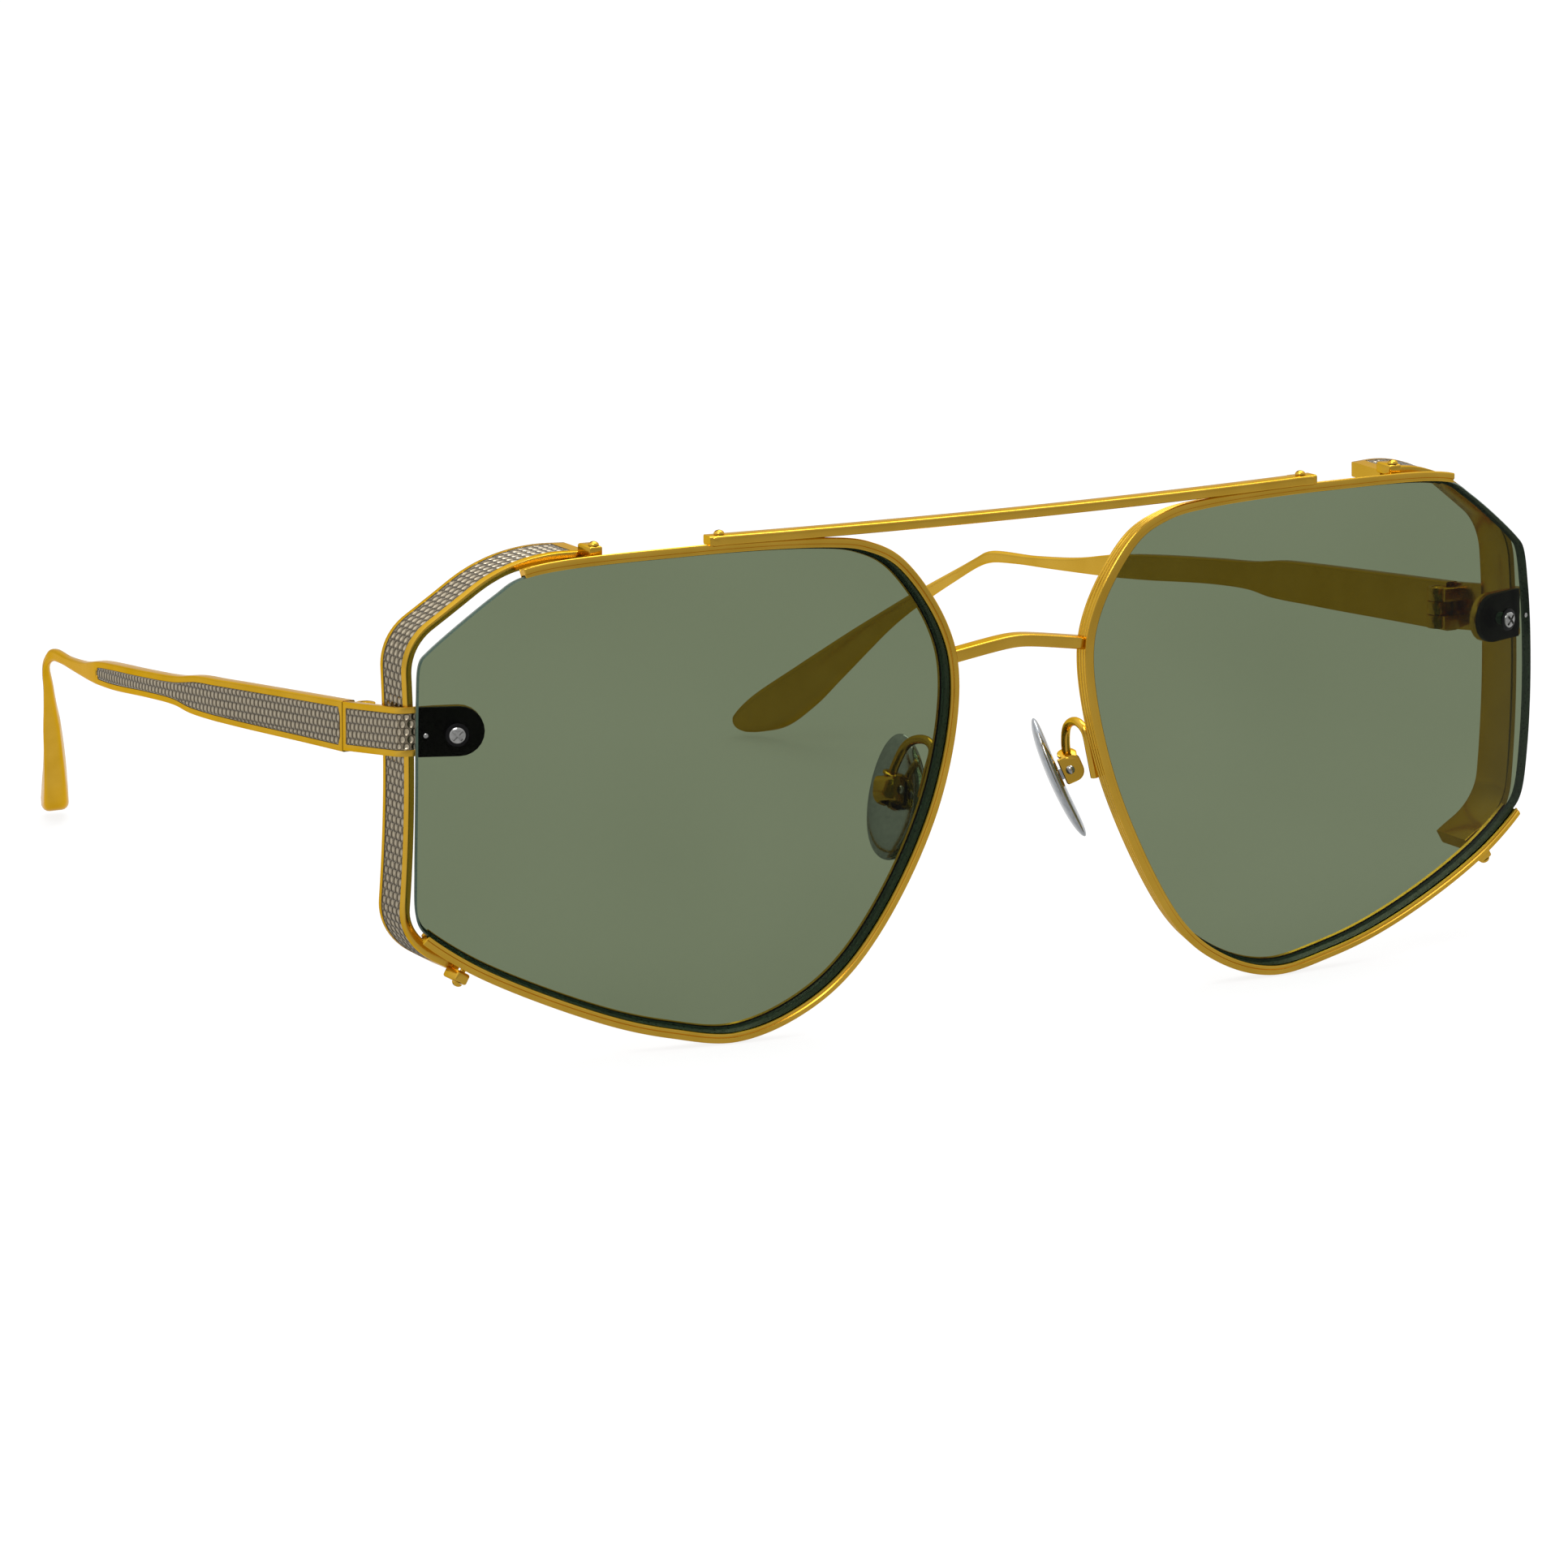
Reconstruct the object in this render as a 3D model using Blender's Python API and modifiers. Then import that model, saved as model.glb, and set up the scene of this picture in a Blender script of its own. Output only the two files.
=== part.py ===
"""Half-rim aviator sunglasses with a brow bar, side shields and folding temples.

Lengths are in millimetres, measured from the point midway between the two lens screws: X to the
wearer's left, Y to the back, Z up. The left half is modelled and mirrored, and everything is put
on the floor and scaled to metres at the end.
"""

import math

import bmesh
import bpy
import numpy as np
from mathutils import Matrix, Vector

# Lens: one sphere gives the front of the left lens, and the outline runs over it.
LENS_RADIUS = 109.0
LENS_POLE = Vector((27.6, -7.3, -6.0))
LENS_CENTRE = LENS_POLE + Vector((0, LENS_RADIUS, 0))
LENS_THICK = 1.7
BLANK_RADIUS = 52.0
OUTLINE_STEPS = 2
RIM_OUTLINE = [(58.9, 16.75), (40.0, 18.15), (23.9, 17.7), (19.2, 16.85), (15.25, 14.75), (10.2, 7.55), (8.9, 1.5),
               (11.85, -12.65), (20.7, -28.6), (27.0, -33.7), (34.4, -36.05), (42.1, -34.9), (50.0, -32.6),
               (63.9, -26.4), (69.6, -22.5)]
FREE_OUTLINE = [(70.4, -21.6), (70.9, -20.2), (71.2, -15.5), (71.25, -5.5), (70.95, 3.5), (70.4, 7.9), (69.5, 9.0),
                (62.2, 14.85)]

# Rim: a channel round the lens edge with three grooves in its outer wall.
FIT = 0.1
LENS_PLAY = 0.25
RIM_WALL = 0.85
RIM_LIP = 0.25
RIM_FRONT = 0.6
RIM_BACK = 0.4
GROOVES = 3
GROOVE_WIDTH = 0.36
GROOVE_DEPTH = 0.16

# Brow bar and bridge.
BAR_HALF = 38.7
BAR_DEEP = 2.0
BAR_TALL = 1.1
BAR_Z = 19.3
BAR_BEHIND = 0.4
BAR_BOW = 2.2
BAR_BLOCK = 2.6
BAR_END = 1.5
BRIDGE_HALF = 7.6
BRIDGE_BEHIND = 1.0
BRIDGE_Z = 3.9
BRIDGE_RISE = 0.95
BRIDGE_ROUND = 0.25
BRIDGE_TALL = 1.4
BRIDGE_DEEP = 2.0

# Lens mount, endpiece and hinge.
SCREW_X = 67.0
TAB_THICK = 0.5
TAB_GAP = 0.36
TAB_TALL = 5.45
TAB_IN = 3.2
TAB_OUT = 4.2
SIDE_X = 71.6
STRIP = 0.8
STRIP_TALL = 5.45
STRIP_BEND = 2.0
STRIP_SLOPE = 0.125
SLOPE_START = 4.0
SEAM_Y = 18.5
SEAM_GAP = 0.15
BORDER = 0.7
INLAY_DEEP = 0.45
INLAY_GAP = 0.05
HINGE_X = 68.75
KNUCKLE = 1.1
KNUCKLE_TALL = 1.5
KNUCKLE_GAP = 0.1
PIN_R = 0.5

# Temple, as a side outline bent inwards behind the ear.
TEMPLE_TOP = [(18.65, 0.95), (35.0, -0.65), (49.0, -2.05), (55.5, -2.75), (61.0, -3.75), (70.0, -4.8), (81.0, -6.1),
              (88.0, -7.1), (94.5, -8.45), (102.0, -9.05), (108.5, -9.75), (113.0, -11.6), (120.0, -16.0),
              (135.2, -27.3), (141.7, -32.4), (143.7, -35.0)]
TEMPLE_LOW = [(142.0, -36.6), (138.4, -36.1), (130.8, -27.9), (123.9, -20.3), (116.0, -14.2), (110.5, -11.5),
              (105.6, -10.7), (99.0, -10.45), (91.6, -10.05), (84.7, -9.5), (80.7, -9.1), (69.3, -7.75), (61.4, -7.15),
              (57.0, -7.3), (46.8, -6.75), (28.0, -5.4), (18.65, -4.75)]
TEMPLE_THICK = 1.6
NECK_THICK = 1.1
TIP_THICK = 3.5
NECK_Y = 111.0
TAPER_Y = 88.0
TIP_Y = 141.0
BEND_LINE = [(50.0, 0.0), (70.0, 1.0), (87.0, 3.5), (100.0, 6.1), (108.0, 7.8), (113.5, 9.4), (120.0, 12.45),
             (135.0, 19.45), (148.0, 25.1)]
INLAY_END = 87.0

# Side shield: a strip that follows the lens edge, drawn in the front view as corners with a radius.
SHIELD = [(50.3, 18.9, 0.0), (59.4, 17.15, 9.0), (70.45, 9.5, 2.0), (70.8, -24.0, 7.0), (64.9, -27.4, 0.0)]
SHIELD_THICK = 0.8
SHIELD_BEHIND = 4.3
SHIELD_DEEP = 6.5
SHIELD_RECESS = 0.35
SHIELD_FRONT = 1.2
INLAY_SPLIT = 2.0
SHIELD_BLOCK = 2.1
BLOCK_OVER = 0.95
BLOCK_UNDER = 0.1
BLOCK_PAST = 0.3
BLOCK_GRIP = 1.6
SCREW_BEHIND = 1.2

# Nose pads, on a frame of their own: the pin is the centre, and the pad faces the nose.
PAD_PIN = Vector((11.6, 3.6, -12.35))
PAD_FACE = Vector((-0.84, 0.371, -0.397)).normalized()
PAD_DOWN = Vector((0.275, -0.34, -0.9)).normalized()
PAD_HALF_LONG = 7.2
PAD_HALF_WIDE = 3.8
PAD_THICK = 1.4
PAD_BOW = 0.45
PAD_OFF = 1.2
ARM_R = 0.5
ARM_PATH = [(10.7, -2.75, -9.6), (9.8, -2.75, -6.6), (9.8, -1.5, -6.0), (10.1, 0.6, -6.2), (10.4, 2.3, -7.2),
            (10.9, 3.4, -9.2), (11.45, 3.9, -11.25)]
PAD_PIN_R = 0.3
CLAMP_R = 1.35

SCREW_R = 0.6
SMALL_R = 0.3
SCREW_INTO = 0.65
MM = 0.001

for old in list(bpy.data.objects):
    bpy.data.objects.remove(old, do_unlink=True)

parts = bpy.data.collections.new("aviator_sunglasses")
bpy.context.scene.collection.children.link(parts)


def material(name, colour, metallic, roughness):
    mat = bpy.data.materials.new(name)
    mat.use_nodes = True
    shader = mat.node_tree.nodes["Principled BSDF"]
    shader.inputs["Base Color"].default_value = (*colour, 1.0)
    shader.inputs["Metallic"].default_value = metallic
    shader.inputs["Roughness"].default_value = roughness
    return mat


GOLD = material("polished_gold", (0.75, 0.48, 0.07), 1.0, 0.15)
SILVER = material("dimpled_silver", (0.55, 0.52, 0.48), 1.0, 0.3)
GLASS = material("green_glass", (0.15, 0.19, 0.11), 0.0, 0.05)
BLACK = material("black_rubber", (0.01, 0.01, 0.01), 0.0, 0.5)
STEEL = material("steel", (0.6, 0.6, 0.6), 1.0, 0.25)
TITANIUM = material("titanium", (0.6, 0.59, 0.57), 1.0, 0.35)


# Outlines

def smooth(points, steps, closed):
    """Centripetal Catmull-Rom curve through the points."""
    pts = [Vector(p).to_3d() for p in points]
    if closed:
        pts = [pts[-1]] + pts + pts[:2]
    else:
        pts = [2 * pts[0] - pts[1]] + pts + [2 * pts[-1] - pts[-2]]
    curve = []
    for a, b, c, d in zip(pts, pts[1:], pts[2:], pts[3:]):
        tb = math.sqrt((b - a).length)
        tc = tb + math.sqrt((c - b).length)
        td = tc + math.sqrt((d - c).length)
        for i in range(steps):
            t = tb + (tc - tb) * i / steps
            ab = a + (b - a) * (t / tb)
            bc = b + (c - b) * ((t - tb) / (tc - tb))
            cd = c + (d - c) * ((t - tc) / (td - tc))
            abc = ab + (bc - ab) * (t / tc)
            bcd = bc + (cd - bc) * ((t - tb) / (td - tb))
            curve.append(abc + (bcd - abc) * ((t - tb) / (tc - tb)))
    if not closed:
        curve.append(pts[-2])
    return curve


def rounded(corners, steps=5):
    """Open line through the corners, each with an arc of its own radius."""
    line = [Vector(corners[0][:2])]
    for before, corner, after in zip(corners, corners[1:], corners[2:]):
        p = Vector(corner[:2])
        u = (Vector(before[:2]) - p).normalized()
        v = (Vector(after[:2]) - p).normalized()
        half = u.angle(v) / 2
        centre = p + (u + v).normalized() * corner[2] / math.sin(half)
        first = p + u * corner[2] / math.tan(half) - centre
        last = p + v * corner[2] / math.tan(half) - centre
        turn = first.angle_signed(last)
        for i in range(steps + 1):
            spin = Matrix.Rotation(-turn * i / steps, 2)
            line.append(centre + spin @ first)
    line.append(Vector(corners[-1][:2]))
    return line


def offset(line, dist):
    """The line moved sideways, to the right of its run when dist is positive."""
    moved = []
    for i, p in enumerate(line):
        back = (p - line[i - 1]).normalized() if i else (line[1] - p).normalized()
        ahead = (line[i + 1] - p).normalized() if i + 1 < len(line) else back
        run = (back + ahead).normalized()
        right = Vector((run.y, -run.x))
        moved.append(p + right * dist / max(run.dot(ahead), 0.5))
    return moved


def portion(line, start, end):
    """The part of the line between two lengths along it."""
    kept = []
    gone = 0.0
    for a, b in zip(line, line[1:]):
        step = (b - a).length
        for edge in (start, end):
            if gone < edge < gone + step:
                kept.append((edge, a.lerp(b, (edge - gone) / step)))
        gone += step
        if start < gone < end:
            kept.append((gone, b))
    if start <= 0:
        kept.append((0.0, line[0]))
    return [p for at, p in sorted(kept, key=lambda item: item[0])]


def divided(line, longest):
    """The line with points added, so that no step is longer than a length."""
    full = []
    for a, b in zip(line, line[1:]):
        count = math.ceil((b - a).length / longest)
        full += [a.lerp(b, i / count) for i in range(count)]
    return full + [line[-1]]


def length_of(line):
    return sum((b - a).length for a, b in zip(line, line[1:]))


def strip(line, near, far):
    """Closed outline of a strip beside the line."""
    return offset(line, near) + offset(line, far)[::-1]


# Solids

def finish_mesh(name, bm):
    bmesh.ops.recalc_face_normals(bm, faces=bm.faces)
    if bm.calc_volume(signed=True) < 0:
        bmesh.ops.reverse_faces(bm, faces=bm.faces)
    mesh = bpy.data.meshes.new(name)
    bm.to_mesh(mesh)
    bm.free()
    obj = bpy.data.objects.new(name, mesh)
    parts.objects.link(obj)
    return obj


def baked(obj):
    """The object with its modifiers, or its curve, turned into a plain mesh."""
    graph = bpy.context.evaluated_depsgraph_get()
    mesh = bpy.data.meshes.new_from_object(obj.evaluated_get(graph))
    bm = bmesh.new()
    bm.from_mesh(mesh)
    bmesh.ops.remove_doubles(bm, verts=bm.verts, dist=0.0001)
    name = obj.name
    bpy.data.objects.remove(obj, do_unlink=True)
    return finish_mesh(name, bm)


def joined(obj, tool, operation):
    change = obj.modifiers.new("change", "BOOLEAN")
    change.operation = operation
    change.solver = "EXACT"
    change.object = tool
    result = baked(obj)
    bpy.data.objects.remove(tool, do_unlink=True)
    return result


def fused(obj, tool):
    return joined(obj, tool, "UNION")


def cut(obj, tool):
    return joined(obj, tool, "DIFFERENCE")


def plate(name, outline, low, high, basis):
    """A flat outline pushed from low to high along the third axis of the basis."""
    bm = bmesh.new()
    face = bm.faces.new([bm.verts.new((p[0], p[1], low)) for p in outline])
    grown = bmesh.ops.extrude_face_region(bm, geom=[face])
    verts = [v for v in grown["geom"] if isinstance(v, bmesh.types.BMVert)]
    bmesh.ops.translate(bm, verts=verts, vec=(0, 0, high - low))
    bm.transform(basis)
    return finish_mesh(name, bm)


def block(name, low, high, basis=Matrix()):
    bm = bmesh.new()
    size = [h - l for l, h in zip(low, high)]
    middle = [(l + h) / 2 for l, h in zip(low, high)]
    bmesh.ops.create_cube(bm, size=1.0, matrix=Matrix.LocRotScale(middle, None, size))
    bm.transform(basis)
    return finish_mesh(name, bm)


def turned(name, profile, basis, steps=20, closed=False):
    """A profile of (radius, height) points, top to bottom, turned about the third axis of the basis."""
    mesh = bpy.data.meshes.new(name)
    verts = [(r, 0, h) for r, h in profile]
    edges = [(i, i + 1) for i in range(len(verts) - 1)]
    if closed:
        edges.append((len(verts) - 1, 0))
    mesh.from_pydata(verts, edges, [])
    obj = bpy.data.objects.new(name, mesh)
    parts.objects.link(obj)
    turn = obj.modifiers.new("turn", "SCREW")
    turn.axis = "Z"
    turn.steps = steps
    turn.render_steps = steps
    turn.use_merge_vertices = True
    turn.merge_threshold = 0.0001
    obj = baked(obj)
    obj.data.transform(basis)
    return obj


def rod(radius, low, high, basis, steps=20):
    return turned("rod", [(0, high), (radius, high), (radius, low), (0, low)], basis, steps)


def basis_at(origin, third, first=Vector((1, 0, 0))):
    """Axes with the third along a direction and the first as near as can be to another."""
    z = Vector(third).normalized()
    x = (first - z * first.dot(z)).normalized()
    y = z.cross(x)
    basis = Matrix((x, y, z)).transposed().to_4x4()
    basis.translation = origin
    return basis


PLAN = Matrix()
FRONT_VIEW = Matrix(((1, 0, 0, 0), (0, 0, 1, 0), (0, 1, 0, 0), (0, 0, 0, 1)))


def on_lens(p):
    """Point of the lens front at x, z."""
    flat = (p[0] - LENS_CENTRE.x) ** 2 + (p[1] - LENS_CENTRE.z) ** 2
    return Vector((p[0], LENS_CENTRE.y - math.sqrt(LENS_RADIUS ** 2 - flat), p[1]))


def out_of_lens(p):
    return (p - LENS_CENTRE).normalized()


def sweep(name, path, profile):
    """The profile, as (outwards, backwards) points, carried along a path on the lens front."""
    bm = bmesh.new()
    rings = []
    for i, p in enumerate(path):
        along = path[min(i + 1, len(path) - 1)] - path[max(i - 1, 0)]
        face = out_of_lens(p)
        outwards = along.cross(face).normalized()
        rings.append([bm.verts.new(p + outwards * n - face * d) for n, d in profile])
    for a, b in zip(rings, rings[1:]):
        for i in range(len(profile)):
            j = (i + 1) % len(profile)
            bm.faces.new((a[i], a[j], b[j], b[i]))
    bm.faces.new(rings[0])
    bm.faces.new(rings[-1][::-1])
    return finish_mesh(name, bm)


def sheared(obj):
    """Lets the endpiece run down towards the hinge."""
    for v in obj.data.vertices:
        v.co.z -= max(v.co.y - SLOPE_START, 0.0) * STRIP_SLOPE
    return obj


# Lens and rim

outline = [on_lens(p) for p in smooth(RIM_OUTLINE + FREE_OUTLINE, OUTLINE_STEPS, True)]
rim_path = outline[:(len(RIM_OUTLINE) - 1) * OUTLINE_STEPS + 1]

wrap = math.asin((SCREW_X - LENS_CENTRE.x) / LENS_RADIUS)
mount = basis_at(on_lens((SCREW_X, 0.0)), (-math.sin(wrap), math.cos(wrap), 0), Vector((math.cos(wrap), math.sin(wrap), 0)))
mount_out = mount @ Matrix.Rotation(math.pi, 4, "X")


def make_lens():
    reach = math.asin(BLANK_RADIUS / LENS_RADIUS)
    inner = LENS_RADIUS - LENS_THICK
    arc = [reach * i / 7 for i in range(8)]
    front = [(LENS_RADIUS * math.sin(a), LENS_RADIUS * math.cos(a)) for a in arc]
    rear = [(inner * math.sin(a), inner * math.cos(a)) for a in arc[::-1]]
    lens = turned("lens", front + rear, basis_at(LENS_CENTRE, (0, -1, 0)), 30)
    bm = bmesh.new()
    face = bm.faces.new([bm.verts.new(LENS_CENTRE + (p - LENS_CENTRE) * 1.15) for p in outline])
    grown = bmesh.ops.extrude_face_region(bm, geom=[face])
    for v in grown["geom"]:
        if isinstance(v, bmesh.types.BMVert):
            v.co = LENS_CENTRE + (v.co - LENS_CENTRE) * 0.72
    lens = joined(lens, finish_mesh("edger", bm), "INTERSECT")
    return cut(lens, rod(SCREW_R + FIT, -3, 5, mount))


def make_rim():
    back = LENS_THICK + LENS_PLAY + RIM_BACK
    profile = [(-RIM_LIP, -RIM_FRONT), (RIM_WALL - 0.2, -RIM_FRONT), (RIM_WALL, 0.2 - RIM_FRONT)]
    pitch = (back + RIM_FRONT - 0.4) / GROOVES
    for i in range(GROOVES):
        middle = 0.2 - RIM_FRONT + pitch * (i + 0.5)
        profile.append((RIM_WALL, middle - GROOVE_WIDTH / 2))
        profile.append((RIM_WALL - GROOVE_DEPTH, middle))
        profile.append((RIM_WALL, middle + GROOVE_WIDTH / 2))
    profile += [(RIM_WALL, back - 0.2), (RIM_WALL - 0.2, back), (-RIM_LIP, back), (-RIM_LIP, LENS_THICK + LENS_PLAY)]
    profile += [(FIT, LENS_THICK + LENS_PLAY), (FIT, -LENS_PLAY), (-RIM_LIP, -LENS_PLAY)]
    rim = sweep("rim", rim_path, profile)
    for place, over in ((brow_screw, BAR_TALL), (shield_top, BLOCK_TALL), (shield_low, BLOCK_TALL)):
        rim = cut(rim, rod(SMALL_R + FIT / 2, -over - 1.2, 2.5, place, 12))
    return rim


# Where the small screws stand: the third axis points out of the head.
BLOCK_TALL = BLOCK_OVER + BLOCK_UNDER
brow_screw_x = BAR_HALF - BAR_END
bar_y = on_lens((brow_screw_x, BAR_Z)).y + BAR_BEHIND
brow_screw = basis_at((brow_screw_x, bar_y, BAR_Z + BAR_TALL), (0, 0, 1))
shield_line = divided(rounded(SHIELD), 4.0)
shield_long = length_of(shield_line)


def on_shield(length):
    """Top of the block round a screw, at a length along the shield."""
    here, ahead = portion(shield_line, length, length + 0.2)[:2]
    run = (ahead - here).normalized()
    behind = on_lens(here).y + SCREW_BEHIND
    return basis_at((here.x, behind, here.y), (-run.y, 0, run.x)) @ Matrix.Translation((0, 0, BLOCK_OVER))


shield_top = on_shield(SHIELD_BLOCK / 2 - BLOCK_PAST)
shield_low = on_shield(shield_long - SHIELD_BLOCK / 2 + BLOCK_PAST)


def dome_screw(name, place, under):
    """Small screw with a round slotted head; under is the length of its shank."""
    profile = [(0, 0.6), (0.33, 0.53), (0.58, 0.3), (0.65, 0.05), (SMALL_R, 0.05), (SMALL_R, -under), (0, -under)]
    screw = turned(name, profile, place, 12)
    return cut(screw, block("slot", (-1, -0.09, 0.4), (1, 0.09, 1), place))


# Brow bar and bridge

def make_bar():
    line = [Vector((BAR_HALF * t / 8, bar_y - BAR_BOW * (1 - (t / 8) ** 2))) for t in range(-8, 9)]
    bar = plate("brow_bar", strip(line, -BAR_DEEP / 2, BAR_DEEP / 2), BAR_Z, BAR_Z + BAR_TALL, PLAN)
    edge = bar.modifiers.new("edge", "BEVEL")
    edge.width = 0.22
    edge.segments = 1
    bar = baked(bar)
    for side in (-1, 1):
        low = (side * brow_screw_x - BAR_BLOCK / 2, bar_y - 1.15, BAR_Z - 0.04)
        high = (side * brow_screw_x + BAR_BLOCK / 2, bar_y + 1.15, BAR_Z + BAR_TALL - 0.06)
        end = block("end", low, high)
        edge = end.modifiers.new("edge", "BEVEL")
        edge.width = 0.2
        edge.segments = 1
        bar = fused(bar, baked(end))
        place = brow_screw.copy()
        place.translation.x *= side
        bar = cut(bar, rod(SMALL_R + FIT / 2, -3, 1, place, 12))
    return bar


def make_bridge():
    line = []
    for i in range(-6, 7):
        fall = (math.hypot(i / 6, BRIDGE_ROUND) - BRIDGE_ROUND) / (math.hypot(1, BRIDGE_ROUND) - BRIDGE_ROUND)
        line.append(Vector((BRIDGE_HALF * i / 6, BRIDGE_Z + BRIDGE_RISE * (1 - fall))))
    shape = strip(line, -BRIDGE_TALL / 2, BRIDGE_TALL / 2)
    middle = on_lens((BRIDGE_HALF + RIM_WALL, BRIDGE_Z)).y + BRIDGE_BEHIND
    bridge = plate("bridge", shape, middle - BRIDGE_DEEP / 2, middle + BRIDGE_DEEP / 2, FRONT_VIEW)
    edge = bridge.modifiers.new("edge", "BEVEL")
    edge.width = 0.25
    edge.segments = 1
    return baked(bridge)


# Lens mount, endpiece and hinge

def tab_outline(trim):
    r = TAB_TALL / 2 - trim
    line = [Vector((TAB_OUT - trim, -r)), Vector((TAB_OUT - trim, r))]
    for i in range(13):
        a = math.pi / 2 + math.pi * i / 12
        line.append(Vector((r * math.cos(a) - TAB_IN + TAB_TALL / 2, r * math.sin(a))))
    return line


def make_tab():
    low = LENS_THICK + TAB_GAP
    tab = plate("lens_tab", tab_outline(0.0), low, low + TAB_THICK, mount)
    return cut(tab, rod(SCREW_R + FIT, -1, 6, mount))


strip_front = LENS_THICK + TAB_GAP + TAB_THICK + 0.1
across = Vector((math.cos(wrap), math.sin(wrap)))
backwards = Vector((-math.sin(wrap), math.cos(wrap)))
strip_start = mount.translation.xy + backwards * strip_front
bend_at = (SIDE_X - STRIP_BEND - (strip_start + backwards * STRIP_BEND).x) / across.x
bend_centre = strip_start + across * bend_at + backwards * STRIP_BEND
strip_line = [strip_start - across * TAB_IN]
for k in range(7):
    angle = wrap - math.pi / 2 + (math.pi / 2 - wrap) * k / 6
    strip_line.append(bend_centre + STRIP_BEND * Vector((math.cos(angle), math.sin(angle))))
strip_line.append(Vector((SIDE_X, SEAM_Y)))
hinge_z = -(SEAM_Y - SLOPE_START) * STRIP_SLOPE
hinge = Matrix.Translation((HINGE_X, SEAM_Y + SEAM_GAP / 2, hinge_z))
strip_long = length_of(strip_line)
inlay_start = bend_at + TAB_IN - 0.4


def knuckle(low, high, reach):
    """Barrel about the hinge pin, with a web that reaches to its own side of the seam."""
    barrel = rod(KNUCKLE, low, high, hinge, 20)
    side = (SEAM_GAP / 2 + 0.05) * math.copysign(1, reach)
    ys = sorted((side, reach))
    web = block("web", (0, ys[0], low), (SIDE_X - HINGE_X - 0.6, ys[1], high), hinge)
    return fused(barrel, web)


def make_endpiece():
    end = plate("endpiece", strip(strip_line, 0, -STRIP), -STRIP_TALL / 2, STRIP_TALL / 2, PLAN)
    far = 2 * SEAM_Y
    shape = tab_outline(0.0)
    nose = plate("nose", shape[:1] + [(far, -STRIP_TALL / 2), (far, STRIP_TALL / 2)] + shape[1:], -far, far, mount)
    end = joined(end, nose, "INTERSECT")
    line = portion(strip_line, inlay_start, strip_long - BORDER)
    tall = STRIP_TALL / 2 - BORDER
    end = cut(end, plate("recess", strip(line, 0.5, -INLAY_DEEP), -tall, tall, PLAN))
    end = sheared(end)
    half = KNUCKLE_TALL / 2
    for low, high in ((half + KNUCKLE_GAP, half + KNUCKLE_GAP + KNUCKLE_TALL), (-half - KNUCKLE_GAP - KNUCKLE_TALL, -half - KNUCKLE_GAP)):
        end = fused(end, knuckle(low, high, -1.7))
    end = cut(end, rod(PIN_R + FIT / 2, -4, 4, hinge, 16))
    return cut(end, rod(SCREW_R + FIT, -1, 6, mount))


def make_endpiece_inlay():
    line = portion(strip_line, inlay_start + INLAY_GAP, strip_long - BORDER - INLAY_GAP)
    tall = STRIP_TALL / 2 - BORDER - INLAY_GAP
    return sheared(plate("endpiece_inlay", strip(line, -INLAY_GAP, INLAY_GAP - INLAY_DEEP), -tall, tall, PLAN))


def make_lens_screw():
    under = strip_front + STRIP + 0.9
    profile = [(0, 0.4), (0.8, 0.4), (1.08, 0.2), (1.08, 0.05), (SCREW_R, 0.05), (SCREW_R, -under), (0, -under)]
    screw = turned("lens_screw", profile, mount_out, 20)
    screw = cut(screw, block("slot", (-0.7, -0.13, 0.15), (0.7, 0.13, 1), mount_out))
    return cut(screw, block("slot", (-0.13, -0.7, 0.15), (0.13, 0.7, 1), mount_out))


def make_lens_nut():
    low = strip_front + STRIP + 0.1
    hole = SCREW_R + FIT
    profile = [(hole, low + 1.0), (1.0, low + 1.0), (1.35, low + 0.6), (1.35, low), (hole, low)]
    return turned("lens_nut", profile, mount, 18, True)


def make_hinge_screw():
    top = KNUCKLE_TALL * 1.5 + KNUCKLE_GAP
    profile = [(0, top + 0.3), (0.6, top + 0.25), (0.8, top + 0.05), (PIN_R, top + 0.05), (PIN_R, -top), (0, -top)]
    screw = turned("hinge_screw", profile, hinge, 16)
    return cut(screw, block("slot", (-1, -0.1, top + 0.15), (1, 0.1, top + 1), hinge))


# Temple

bend_line = smooth(BEND_LINE, 4, False)


def bend(y):
    """How far the temple has turned inwards."""
    return float(np.interp(y, [p.x for p in bend_line], [p.y for p in bend_line]))


def thickness(y):
    swell = min(max((y - NECK_Y) / (TIP_Y - NECK_Y), 0.0), 1.0)
    blade = float(np.interp(y, [TAPER_Y, NECK_Y], [TEMPLE_THICK, NECK_THICK]))
    return blade + (TIP_THICK - NECK_THICK) * swell ** 1.5


def bent_plate(name, shape, near, far):
    """A side outline (y, z) from one depth under the outer face to another, bent with the temple."""
    upright = Matrix(((0, 0, 1, 0), (1, 0, 0, 0), (0, 1, 0, 0), (0, 0, 0, 1)))
    side = plate(name, shape, 0, 1, upright)
    bm = bmesh.new()
    bm.from_mesh(side.data)
    bpy.data.objects.remove(side, do_unlink=True)
    for y in np.arange(BEND_LINE[0][0], BEND_LINE[-1][0], 6.5):
        geom = bm.verts[:] + bm.edges[:] + bm.faces[:]
        bmesh.ops.bisect_plane(bm, geom=geom, plane_co=(0, y, 0), plane_no=(0, 1, 0), dist=0.0001)
    for v in bm.verts:
        depth = near if v.co.x > 0.5 else far if far is not None else thickness(v.co.y)
        v.co.x = SIDE_X - bend(v.co.y) - depth
    return finish_mesh(name, bm)


top_line = smooth(TEMPLE_TOP, 3, False)
low_line = smooth(TEMPLE_LOW, 3, False)


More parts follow.
